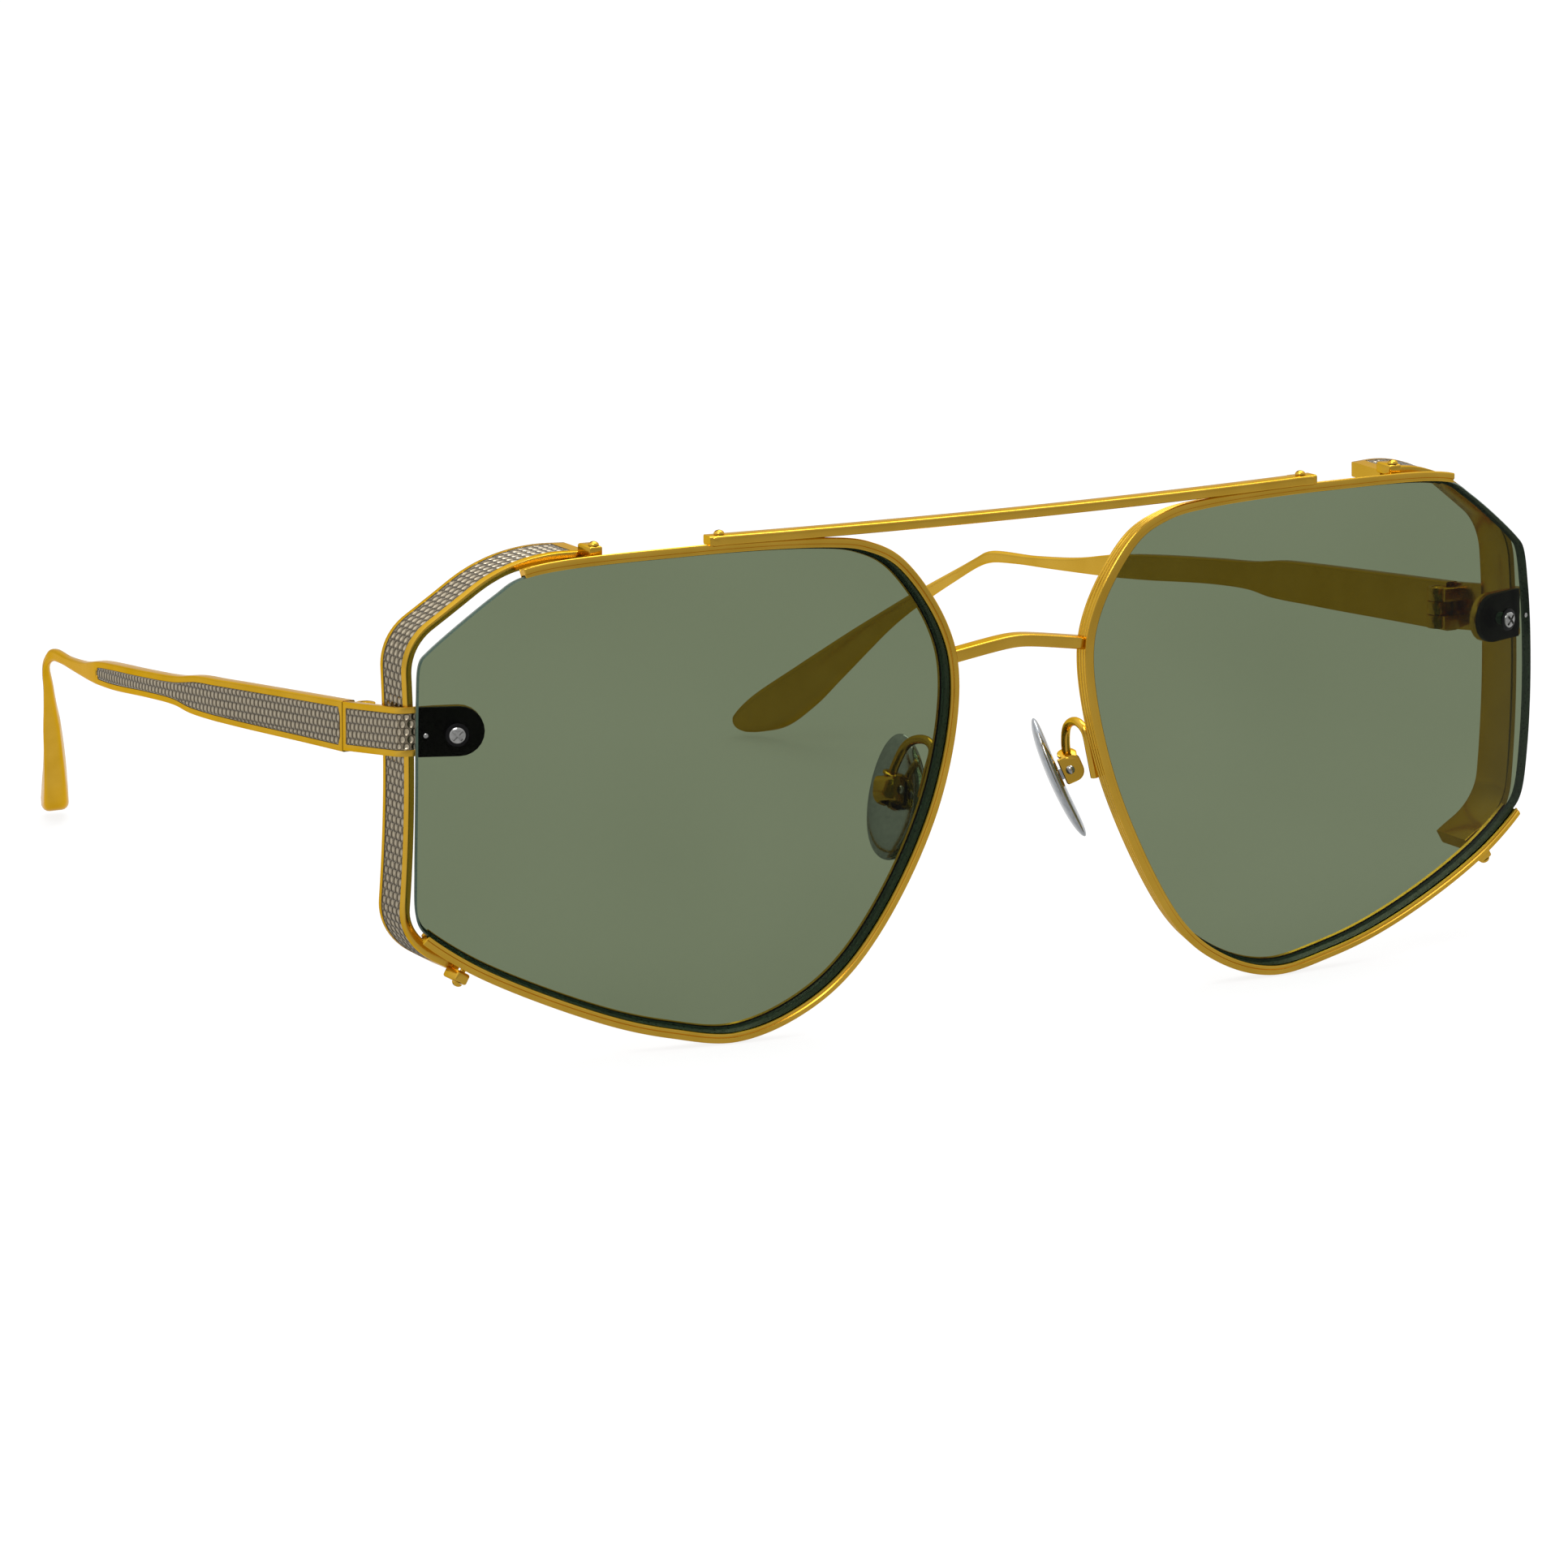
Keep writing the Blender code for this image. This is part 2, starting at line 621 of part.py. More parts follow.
def inlay_outline(trim):
    """The blade's outline less a border, with a round end."""
    ys = np.linspace(18.65 + BORDER + trim, INLAY_END - trim, 18)
    top = np.interp(ys, [p.x for p in top_line], [p.y for p in top_line]) - BORDER - trim
    low = np.interp(ys, [p.x for p in low_line[::-1]], [p.y for p in low_line[::-1]]) + BORDER + trim
    end = (ys[-1] + 0.7, (top[-1] + low[-1]) / 2)
    return list(zip(ys, top)) + [end] + list(zip(ys, low))[::-1]


def make_temple():
    temple = bent_plate("temple", top_line + low_line, 0.0, None)
    temple = cut(temple, bent_plate("recess", inlay_outline(0.0), -0.5, INLAY_DEEP))
    half = KNUCKLE_TALL / 2
    temple = fused(temple, knuckle(-half, half, 1.7))
    return cut(temple, rod(PIN_R + FIT / 2, -4, 4, hinge, 16))


def make_temple_inlay():
    return bent_plate("temple_inlay", inlay_outline(INLAY_GAP), INLAY_GAP, INLAY_DEEP - INLAY_GAP)


# Side shield

def wrapped(obj):
    """Carries a piece of the shield, built with its front edge at zero, to its place behind the lens."""
    bm = bmesh.new()
    bm.from_mesh(obj.data)
    bmesh.ops.triangulate(bm, faces=bm.faces)
    for v in bm.verts:
        v.co.y += on_lens((v.co.x, v.co.z)).y + SHIELD_BEHIND
    name = obj.name
    bpy.data.objects.remove(obj, do_unlink=True)
    return finish_mesh(name, bm)


def make_shield():
    shield = plate("side_shield", strip(shield_line, 0, SHIELD_THICK), 0, SHIELD_DEEP, FRONT_VIEW)
    for start, end in (shield_upper, shield_lower):
        recess = strip(portion(shield_line, start, end), -0.5, SHIELD_RECESS)
        shield = cut(shield, plate("recess", recess, SHIELD_FRONT, SHIELD_DEEP - BORDER, FRONT_VIEW))
    shield = wrapped(shield)
    for place in (shield_top, shield_low):
        ys = sorted(place.col[1].y * y for y in (-1.15, SHIELD_BEHIND - SCREW_BEHIND + BLOCK_GRIP))
        low = (-SHIELD_BLOCK / 2, ys[0], -BLOCK_TALL)
        end = block("end", low, (SHIELD_BLOCK / 2, ys[1], 0), place)
        edge = end.modifiers.new("edge", "BEVEL")
        edge.width = 0.25
        edge.segments = 1
        shield = fused(shield, baked(end))
        shield = cut(shield, rod(SMALL_R + FIT / 2, -3, 1, place, 12))
    return shield


def height_along(z):
    """Length along the shield's outline where its side face passes a height."""
    gone = 0.0
    for a, b in zip(shield_line, shield_line[1:]):
        if a.y >= z > b.y:
            return gone + (b - a).length * (a.y - z) / (a.y - b.y)
        gone += (b - a).length
    return gone


block_long = SHIELD_BLOCK - BLOCK_PAST + 0.3
shield_upper = (block_long, height_along(INLAY_SPLIT / 2))
shield_lower = (height_along(-INLAY_SPLIT / 2), shield_long - block_long)


def make_shield_inlay(name, span):
    line = portion(shield_line, span[0] + INLAY_GAP, span[1] - INLAY_GAP)
    shape = strip(line, INLAY_GAP, SHIELD_RECESS - INLAY_GAP)
    far = SHIELD_DEEP - BORDER - INLAY_GAP
    return wrapped(plate(name, shape, SHIELD_FRONT + INLAY_GAP, far, FRONT_VIEW))


# Nose pads

PAD_ACROSS = PAD_DOWN.cross(PAD_FACE)
pad_basis = Matrix((PAD_ACROSS, PAD_DOWN, PAD_FACE)).transposed().to_4x4()
pad_basis.translation = PAD_PIN
pin_basis = basis_at(PAD_PIN, -PAD_ACROSS, PAD_DOWN)


def make_pad():
    """A pad as thin as a lens, egg-shaped and bowed towards the nose, on a lug."""
    bm = bmesh.new()
    size = Matrix.Diagonal((PAD_HALF_WIDE, PAD_HALF_LONG, PAD_THICK / 2, 1))
    bmesh.ops.create_uvsphere(bm, u_segments=20, v_segments=10, radius=1.0, matrix=size)
    for v in bm.verts:
        share = v.co.y / PAD_HALF_LONG
        v.co.x *= 1.0 + 0.12 * share
        v.co.z += PAD_OFF + PAD_THICK / 2 - PAD_BOW * share ** 2
    bm.transform(pad_basis @ Matrix.Translation((0.3, 0.3, 0)))
    pad = finish_mesh("nose_pad", bm)
    pad = fused(pad, block("lug", (-0.5, -0.7, -0.6), (0.5, 0.7, PAD_OFF + 0.4), pad_basis))
    return cut(pad, rod(PAD_PIN_R + FIT, -3, 3, pin_basis, 12))


def make_pad_arm():
    curve = bpy.data.curves.new("pad_arm", "CURVE")
    curve.dimensions = "3D"
    curve.bevel_depth = ARM_R
    curve.bevel_resolution = 2
    curve.use_fill_caps = True
    line = smooth(ARM_PATH, 3, False)
    wire = curve.splines.new("POLY")
    wire.points.add(len(line) - 1)
    for point, p in zip(wire.points, line):
        point.co = (*p, 1)
    arm = bpy.data.objects.new("pad_arm", curve)
    parts.objects.link(arm)
    clamp = rod(CLAMP_R, -CLAMP_R, CLAMP_R, pin_basis, 20)
    clamp = cut(clamp, block("flat", (-3, -3, 0.85), (3, 3, 3), pad_basis))
    arm = fused(baked(arm), clamp)
    arm = cut(arm, block("slot", (-0.65, -0.95, -0.9), (0.65, 3, 2), pad_basis))
    return cut(arm, rod(PAD_PIN_R + FIT / 2, -3, 3, pin_basis, 12))


def make_pad_screw():
    top = CLAMP_R + 0.07
    end = 0.05 - CLAMP_R
    profile = [(0, top + 0.33), (0.3, top + 0.28), (0.5, top + 0.03), (PAD_PIN_R, top), (PAD_PIN_R, end), (0, end)]
    return turned("pad_screw", profile, pin_basis, 14)


# Assembly: name, maker, material and the point that the piece turns about or stands at.

rest = Vector((0, 0, 0))
side_pieces = [
    ("lens", make_lens, GLASS, rest),
    ("rim", make_rim, GOLD, rest),
    ("lens_tab", make_tab, BLACK, rest),
    ("endpiece", make_endpiece, GOLD, rest),
    ("endpiece_inlay", make_endpiece_inlay, SILVER, rest),
    ("lens_screw", make_lens_screw, STEEL, rest),
    ("lens_nut", make_lens_nut, GOLD, rest),
    ("side_shield", make_shield, GOLD, rest),
    ("shield_inlay_upper", lambda: make_shield_inlay("shield_inlay_upper", shield_upper), SILVER, rest),
    ("shield_inlay_lower", lambda: make_shield_inlay("shield_inlay_lower", shield_lower), SILVER, rest),
    ("shield_screw_top", lambda: dome_screw("shield_screw_top", shield_top, BLOCK_TALL + SCREW_INTO), GOLD, rest),
    ("shield_screw_low", lambda: dome_screw("shield_screw_low", shield_low, BLOCK_TALL + SCREW_INTO), GOLD, rest),
    ("brow_screw", lambda: dome_screw("brow_screw", brow_screw, BAR_TALL + SCREW_INTO), GOLD, rest),
    ("hinge_screw", make_hinge_screw, GOLD, rest),
    ("temple", make_temple, GOLD, hinge.translation),
    ("temple_inlay", make_temple_inlay, SILVER, hinge.translation),
    ("pad_arm", make_pad_arm, GOLD, rest),
    ("nose_pad", make_pad, TITANIUM, PAD_PIN),
    ("pad_screw", make_pad_screw, STEEL, rest),
]

root = bpy.data.objects.new("sunglasses", None)
parts.objects.link(root)


def place(obj, name, mat, pivot, mirror):
    obj.name = name
    obj.data.name = name
    if mirror:
        obj.data.transform(Matrix.Scale(-1, 4, (1, 0, 0)))
        obj.data.flip_normals()
        pivot = Vector((-pivot.x, pivot.y, pivot.z))
    obj.data.transform(Matrix.Translation(-pivot))
    obj.data.transform(Matrix.Scale(MM, 4))
    obj.location = pivot * MM
    obj.data.materials.clear()
    obj.data.materials.append(mat)
    obj.parent = root
    return obj


made = [place(make_bar(), "brow_bar", GOLD, rest, False), place(make_bridge(), "bridge", GOLD, rest, False)]
for name, maker, mat, pivot in side_pieces:
    left = maker()
    right = bpy.data.objects.new(name + "_right", left.data.copy())
    parts.objects.link(right)
    made.append(place(right, name + "_right", mat, pivot, True))
    made.append(place(left, name + "_left", mat, pivot, False))

# The box round everything stands on the floor, centred over the origin.
corners = [obj.location + v.co for obj in made for v in obj.data.vertices]
low = [min(c[i] for c in corners) for i in range(3)]
high = [max(c[i] for c in corners) for i in range(3)]
root.location = (-(low[0] + high[0]) / 2, -(low[1] + high[1]) / 2, -low[2])
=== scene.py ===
"""Half-rim aviator sunglasses on a pale studio floor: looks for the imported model.

Shapes are worked out in millimetres from the point midway between the two lens screws, X to the
wearer's left, Y to the back and Z up. Each piece is made for the left side, mirrored where there
are two, and carried to the frame of the solids in metres.
"""

import math

import bmesh
import bpy
import numpy as np
from mathutils import Matrix, Vector


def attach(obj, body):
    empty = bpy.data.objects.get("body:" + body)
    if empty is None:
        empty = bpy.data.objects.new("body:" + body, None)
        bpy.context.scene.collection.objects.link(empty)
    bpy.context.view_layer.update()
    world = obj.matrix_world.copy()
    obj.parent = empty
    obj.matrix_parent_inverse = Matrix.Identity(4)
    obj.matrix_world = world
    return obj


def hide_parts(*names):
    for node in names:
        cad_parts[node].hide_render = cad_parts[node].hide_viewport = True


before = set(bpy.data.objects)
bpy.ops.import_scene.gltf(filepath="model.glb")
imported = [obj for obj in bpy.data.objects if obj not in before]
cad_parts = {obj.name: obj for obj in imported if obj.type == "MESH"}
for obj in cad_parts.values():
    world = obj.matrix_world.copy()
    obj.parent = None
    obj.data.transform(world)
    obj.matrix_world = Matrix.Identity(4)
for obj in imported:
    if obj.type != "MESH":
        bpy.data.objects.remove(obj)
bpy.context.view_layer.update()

# Where the middle of the lens screws stands in the frame of the solids.
DATUM = Vector((0.0, -0.0682, 0.0369754))
MM = 0.001
LEFT, RIGHT = "_left", "_right"

# Lens and rim
LENS_RADIUS = 109.0
LENS_CENTRE = Vector((27.6, -7.3 + LENS_RADIUS, -6.0))
LENS_THICK = 1.7
LENS_MIDDLE = Vector((42.0, -6.0))
LENS_EDGE = 0.22
LENS_RINGS = 22
OUTLINE_STEPS = 14
RIM_OUTLINE = [(58.9, 16.75), (40.0, 18.15), (23.9, 17.7), (19.2, 16.85), (15.25, 14.75), (10.2, 7.55),
               (8.9, 1.5), (11.85, -12.65), (20.7, -28.6), (27.0, -33.7), (34.4, -36.05), (42.1, -34.9),
               (50.0, -32.6), (63.9, -26.4), (69.6, -22.5)]
FREE_OUTLINE = [(70.4, -21.6), (70.9, -20.2), (71.2, -15.5), (71.25, -5.5), (70.95, 3.5), (70.4, 7.9),
                (69.5, 9.0), (62.2, 14.85)]
LENS_PLAY = 0.25
RIM_WALL = 0.85
RIM_LIP = 0.25
RIM_FRONT = 0.6
RIM_BACK = 0.4
RIM_STEP = 0.15
STEP_AT = 0.1
RIM_BEVEL = 0.06
RIM_CORNER = 0.2
RIM_SEAT = 0.1
RIM_END_SHARE = 0.93
RIM_GROOVES = 3
GROOVE_WIDTH = 0.42
GROOVE_DEPTH = 0.2

# Brow bar and bridge
BAR_HALF = 38.4
BAR_DEEP = 2.0
BAR_TALL = 1.1
BAR_Z = 18.85
BAR_BEHIND = 0.4
BAR_BOW = 2.2
BAR_ROUND = 0.26
BAR_BLOCK = 2.6
BAR_BLOCK_HALF_DEEP = 1.15
BAR_END = 1.5
BRIDGE_HALF = 7.6
BRIDGE_BEHIND = 1.0
BRIDGE_REACH = 1.16  # share of the half width, so that the ends lie in the walls of the rims
BRIDGE_Z = 3.9
BRIDGE_RISE = 0.95
BRIDGE_ROUND = 0.25
BRIDGE_EDGE = 0.25
BRIDGE_TALL = 1.4
BRIDGE_DEEP = 2.0

# Lens mount and endpiece
SCREW_X = 67.0
SCREW_R = 0.6
SCREW_PLAY = 0.1
SCREW_INTO = 0.65
LENS_HEAD = [(0, 0.42), (0.5, 0.41), (0.75, 0.36), (0.88, 0.25), (0.92, 0.1), (0.92, 0.05)]
SLOT_TURN = 0.8
WASHER = [(0.75, 0.02), (0.75, 0.1), (1.15, 0.1), (1.28, 0.05), (1.28, -0.02), (0.75, -0.02)]
LENS_PIN = [(0, 0.1), (0.2, 0.09), (0.26, 0.04), (0.26, -0.1), (0, -0.1)]
DOME_R, DOME_TALL, DOME_FOOT, DOME_SHANK = 0.6, 0.45, 0.05, 0.3
HINGE_HEAD = [(0, 0.14), (0.4, 0.13), (0.62, 0.08), (0.68, 0), (0.68, -0.05)]
LENS_PIN_OUT = 3.4
RIVET_X = 56.15
RIVET_R, RIVET_TALL = 0.5, 0.3
TAB_THICK = 0.5
TAB_GAP = 0.36
TAB_IN = 3.2
SIDE_X = 71.6
STRIP = 0.8
STRIP_TALL = 5.45
STRIP_BEND = 2.0
STRIP_SLOPE = 0.125
SLOPE_START = 4.0
SEAM_Y = 18.5
SEAM_GAP = 0.15
BORDER = 0.7
INLAY_DEEP = 0.45
INLAY_GAP = 0.05
HINGE_X = 68.75
KNUCKLE = 1.1
KNUCKLE_TALL = 1.5
PIN_R = 0.5

# Temple, as a side outline of (y, z) bent inwards behind the ear
TEMPLE_TOP = [(18.65, 0.95), (35.0, -0.65), (49.0, -2.05), (55.5, -2.75), (61.0, -3.75), (70.0, -4.8),
              (81.0, -6.1), (88.0, -7.1), (94.5, -8.45), (102.0, -9.35), (110.1, -9.95), (112.3, -11.0),
              (120.0, -16.0), (135.2, -27.3), (141.7, -32.4), (143.7, -35.0)]
TEMPLE_LOW = [(142.0, -36.4), (138.4, -35.6), (134.2, -32.4), (130.4, -28.3), (123.4, -20.8), (116.0, -14.7),
              (112.4, -12.3), (109.8, -11.35), (105.6, -10.85), (99.0, -10.5), (91.6, -10.05), (84.7, -9.5),
              (80.7, -9.1), (69.3, -7.75), (61.4, -7.15), (57.0, -7.3), (46.8, -6.75), (28.0, -5.4),
              (18.65, -4.75)]
TAPER_Y, NECK_Y, TIP_Y = 88.0, 111.0, 141.0
TEMPLE_THICK, NECK_THICK, TIP_THICK = 1.6, 1.4, 3.5
BLADE_EDGE, NECK_EDGE, TIP_EDGE = 0.22, 0.45, 0.95
EDGE_SHARE = 0.45
END_BEYOND = Vector((0.45, -0.4))
END_WIDE = 2.6
LEVEL_UNTIL = 120
BEND_LINE = [(50.0, 0.0), (70.0, 1.0), (87.0, 3.5), (100.0, 6.1), (108.0, 7.8), (113.5, 8.95), (120.0, 12.1),
             (135.0, 19.35), (148.0, 24.8)]
INLAY_END = 87.7
INLAY_SLOPE = 0.094
TEMPLE_STATIONS = 260

# Side shield, as corners in the front view with a radius each
SHIELD = [(50.3, 18.53, 0.0), (58.24, 18.64, 17.9), (70.55, 9.35, 7.1), (70.8, -24.0, 7.0),
          (64.9, -27.4, 0.0)]
SHIELD_THICK = 0.8
SHIELD_BEHIND = 3.2
SHIELD_DEEP = 6.1
SHIELD_RECESS = 0.35
SHIELD_ROOT = 10.0
SHIELD_ROOT_THICK = 0.9
SHIELD_FRONT = 1.0
INLAY_SPLIT = 2.0
SHIELD_BLOCK = 1.6
SHIELD_EDGE = 0.14
BLOCK_OVER = 0.95
BLOCK_UNDER = 0.3
BLOCK_PAST = 0.3
BLOCK_GRIP = 0.3
BLOCK_FRONT = 0.7
BLOCK_SOFT = 0.25
SCREW_BEHIND = 1.2

# Dimples of the inlays: oval bowls in staggered rows
DIMPLE_PITCH = 1.0
DIMPLE_ROW = 0.85
DIMPLE_HALF_LONG = 0.4
DIMPLE_HALF_TALL = 0.5
DIMPLE_DEEP = 0.2
DIMPLE_CELL = 0.125
DIMPLE_MARGIN, DIMPLE_FADE = 0.05, 0.12

# Nose pads
PAD_PIN = Vector((11.6, 3.6, -12.35))
PAD_FACE = Vector((-0.84, 0.371, -0.397)).normalized()
PAD_DOWN = Vector((0.275, -0.34, -0.9)).normalized()
PAD_HALF_LONG = 7.2
PAD_HALF_WIDE = 3.8
PAD_THICK = 1.4
PAD_BOW = 0.45
PAD_OFF = 1.2
PAD_MIDDLE = 0.3
PAD_EGG = 0.12
LUG_HALF_WIDE, LUG_HALF_LONG = 0.5, 0.7
PAD_SCREW = [(0, 1.75), (0.2, 1.74), (0.4, 1.64), (0.5, 1.5), (0.5, 1.42), (0.3, 1.42), (0.3, -1.3),
             (0, -1.3)]
ARM_R = 0.5
CLAMP_R = 1.35
CLAMP_SHAPE = [(0.0, 0.9), (1.45, 0.9, 0.2), (1.45, -1.5, 1.2), (-1.6, -1.5, 0.8), (-1.6, 0.9, 0.2),
               (0.0, 0.9)]
ARM_COLLAR = Vector((11.26, 3.73, -10.55))
CLAMP_SLOT = 0.65
COLLAR = [(0, 0.22), (0.95, 0.22), (1.1, 0.1), (1.1, -0.1), (0.95, -0.22), (0, -0.22)]
ARM_PATH = [(11.2, -2.6, -12.0), (10.5, -2.75, -9.2), (9.85, -2.75, -6.7), (9.8, -1.5, -6.0),
            (10.1, 0.6, -6.2), (10.4, 2.3, -7.2), (10.9, 3.4, -9.2), (11.45, 3.9, -11.25)]

# Floor and light: how bright the paper is for the camera, and each lamp's name, place, size and power
FLOOR_HALF = 4.0
FLOOR_DROP = 0.0002
FLOOR_WHITE = 0.86
LAMPS = (("key_lamp", (-0.5, -0.5, 0.9), 0.5, 5.0), ("top_lamp", (0.3, 0.2, 1.0), 0.7, 6.0))

# Camera, from the viewing angle of the photograph
VIEW_TURN = -29.0
VIEW_RISE = 11.8402
VIEW_AWAY = 1350.0
VIEW_RIGHT = -23.4562
VIEW_UP = -11.896
VIEW_FOCUS = 15050.6381
IMAGE_WIDE = 1932
SENSOR = 36.0
CLIP_END = 20.0

QUARTER = [math.pi / 2 * i / 4 for i in range(5)]


# Finishes

def linear(code):
    """Linear colour of an sRGB hex value."""
    parts = [int(code[i:i + 2], 16) / 255 for i in (0, 2, 4)]
    return [c / 12.92 if c <= 0.04045 else ((c + 0.055) / 1.055) ** 2.4 for c in parts] + [1.0]


def add(tree, kind, inputs, **settings):
    """A node with its settings, and with each input set to a value or linked to a socket."""
    node = tree.nodes.new(kind)
    for name, value in settings.items():
        setattr(node, name, value)
    for name, value in inputs.items():
        if isinstance(value, bpy.types.NodeSocket):
            tree.links.new(value, node.inputs[name])
        else:
            node.inputs[name].default_value = value
    return node


def finish(name):
    """An empty material, and its tree with object coordinates in metres."""
    material = bpy.data.materials.new(name)
    material.use_nodes = True
    material.node_tree.nodes.clear()
    place = add(material.node_tree, "ShaderNodeTexCoord", {})
    return material, material.node_tree, place.outputs["Object"]


def blend(tree, factor, stops):
    """Colours along a ramp, as (place, hex value) stops."""
    ramp = add(tree, "ShaderNodeValToRGB", {"Fac": factor})
    while len(ramp.color_ramp.elements) < len(stops):
        ramp.color_ramp.elements.new(1.0)
    for element, (place, code) in zip(ramp.color_ramp.elements, stops):
        element.position = place
        element.color = linear(code)
    return ramp.outputs["Color"]


def per_mm(size):
    """Noise scale for features of a size in millimetres."""
    return 1.0 / (size * MM)


def gold_plate():
    """Polished gold plate on brass: a bright yellow mirror, a little uneven from hand polishing."""
    material, tree, place = finish("polished_gold_plate")
    tone = add(tree, "ShaderNodeTexNoise", {"Vector": place, "Scale": per_mm(5.0), "Detail": 2.0})
    polish = add(tree, "ShaderNodeTexNoise", {"Vector": place, "Scale": per_mm(1.5), "Detail": 1.0})
    rough = add(tree, "ShaderNodeMapRange", {"Value": polish.outputs["Fac"], "From Min": 0.3, "From Max": 0.7,
                                             "To Min": 0.14, "To Max": 0.22})
    bump = add(tree, "ShaderNodeBump", {"Height": polish.outputs["Fac"], "Strength": 0.02,
                                        "Distance": 0.02 * MM})
    colour = blend(tree, tone.outputs["Fac"], [(0.3, "CFA338"), (0.7, "D9AD42")])
    metal = add(tree, "ShaderNodeBsdfPrincipled", {"Base Color": colour, "Metallic": 1.0,
                                                   "Specular Tint": linear("FFE2A0"),
                                                   "Roughness": rough.outputs["Result"],
                                                   "Normal": bump.outputs["Normal"]})
    add(tree, "ShaderNodeOutputMaterial", {"Surface": metal.outputs["BSDF"]})
    return material


def dimpled_silver():
    """Pressed silver: warm grey metal; painted shade rings each dimple's edge, a painted highlight fills its
    middle.
    """
    material, tree, place = finish("pressed_silver")
    pit = add(tree, "ShaderNodeAttribute", {}, attribute_name="pit")
    grain = add(tree, "ShaderNodeTexNoise", {"Vector": place, "Scale": per_mm(0.3), "Detail": 3.0})
    # The ramp paints light by dimple depth: shade near each dimple's edge, a highlight in its middle.
    colour = blend(tree, pit.outputs["Fac"], [(0.0, "8F8470"), (0.2, "2A231A"), (0.7, "C2B69F")])
    rough = add(tree, "ShaderNodeMapRange", {"Value": grain.outputs["Fac"], "From Min": 0.3, "From Max": 0.7,
                                             "To Min": 0.24, "To Max": 0.38})
    bump = add(tree, "ShaderNodeBump", {"Height": grain.outputs["Fac"], "Strength": 0.12,
                                        "Distance": 0.03 * MM})
    metal = add(tree, "ShaderNodeBsdfPrincipled", {"Base Color": colour, "Metallic": 1.0,
                                                   "Roughness": rough.outputs["Result"],
                                                   "Normal": bump.outputs["Normal"]})
    add(tree, "ShaderNodeOutputMaterial", {"Surface": metal.outputs["BSDF"]})
    return material


def tinted_glass():
    """Grey-green mineral glass, polished and coated against reflections: a clear, even tint.

    The coating takes the reflections away, so the IOR is well under that of bare glass."""
    material, tree, place = finish("grey_green_glass")
    drift = add(tree, "ShaderNodeTexNoise", {"Vector": place, "Scale": per_mm(30.0), "Detail": 1.0})
    colour = blend(tree, drift.outputs["Fac"], [(0.3, "69735B"), (0.7, "6D775F")])
    glass = add(tree, "ShaderNodeBsdfPrincipled", {"Base Color": colour, "Roughness": 0.0, "IOR": 1.15,
                                                   "Transmission Weight": 1.0})
    clear = add(tree, "ShaderNodeBsdfTransparent", {"Color": colour})
    path = add(tree, "ShaderNodeLightPath", {})
    surface = add(tree, "ShaderNodeMixShader", {0: path.outputs["Is Shadow Ray"], 1: glass.outputs["BSDF"],
                                                2: clear.outputs["BSDF"]})
    add(tree, "ShaderNodeOutputMaterial", {"Surface": surface.outputs["Shader"]})
    return material


def ground_edge():
    """Edge of the same glass, ground matt: dark green, because the light comes through the whole lens."""
    material, tree, place = finish("ground_glass_edge")
    grit = add(tree, "ShaderNodeTexNoise", {"Vector": place, "Scale": per_mm(0.3), "Detail": 2.0})
    colour = blend(tree, grit.outputs["Fac"], [(0.3, "2C4238"), (0.7, "36503F")])
    rough = add(tree, "ShaderNodeMapRange", {"Value": grit.outputs["Fac"], "To Min": 0.2, "To Max": 0.4})
    edge = add(tree, "ShaderNodeBsdfPrincipled", {"Base Color": colour, "IOR": 1.52,
                                                  "Roughness": rough.outputs["Result"]})
    add(tree, "ShaderNodeOutputMaterial", {"Surface": edge.outputs["BSDF"]})
    return material


def black_nylon():
    """Moulded black nylon: near black, with a soft sheen from a fine moulded grain."""
    material, tree, place = finish("moulded_black_nylon")
    grain = add(tree, "ShaderNodeTexNoise", {"Vector": place, "Scale": per_mm(0.25), "Detail": 2.0})
    colour = blend(tree, grain.outputs["Fac"], [(0.3, "050506"), (0.7, "0A0A0B")])
    rough = add(tree, "ShaderNodeMapRange", {"Value": grain.outputs["Fac"], "To Min": 0.3, "To Max": 0.5})
    bump = add(tree, "ShaderNodeBump", {"Height": grain.outputs["Fac"], "Strength": 0.15,
                                        "Distance": 0.02 * MM})
    nylon = add(tree, "ShaderNodeBsdfPrincipled", {"Base Color": colour, "IOR": 1.53,
                                                   "Specular IOR Level": 0.15,
                                                   "Roughness": rough.outputs["Result"],
                                                   "Normal": bump.outputs["Normal"]})
    add(tree, "ShaderNodeOutputMaterial", {"Surface": nylon.outputs["BSDF"]})
    return material


def turned_metal(name, low, high, smooth, coarse):
    """Turned and tumbled steel or titanium: grey metal with a fine, uneven polish."""
    material, tree, place = finish(name)
    tone = add(tree, "ShaderNodeTexNoise", {"Vector": place, "Scale": per_mm(0.5), "Detail": 3.0})
    colour = blend(tree, tone.outputs["Fac"], [(0.3, low), (0.7, high)])
    rough = add(tree, "ShaderNodeMapRange", {"Value": tone.outputs["Fac"], "From Min": 0.3, "From Max": 0.7,
                                             "To Min": smooth, "To Max": coarse})
    metal = add(tree, "ShaderNodeBsdfPrincipled", {"Base Color": colour, "Metallic": 1.0,
                                                   "Roughness": rough.outputs["Result"]})
    add(tree, "ShaderNodeOutputMaterial", {"Surface": metal.outputs["BSDF"]})
    return material


FINISHES = {
    "gold": [gold_plate()],
    "silver": [dimpled_silver()],
    "glass": [tinted_glass(), ground_edge()],
    "black": [black_nylon()],
    "steel": [turned_metal("polished_steel", "9C9C9A", "B4B4B2", 0.14, 0.24)],
    "titanium": [turned_metal("polished_titanium", "A4A8AC", "B6BABE", 0.08, 0.16)],
}


# Lines

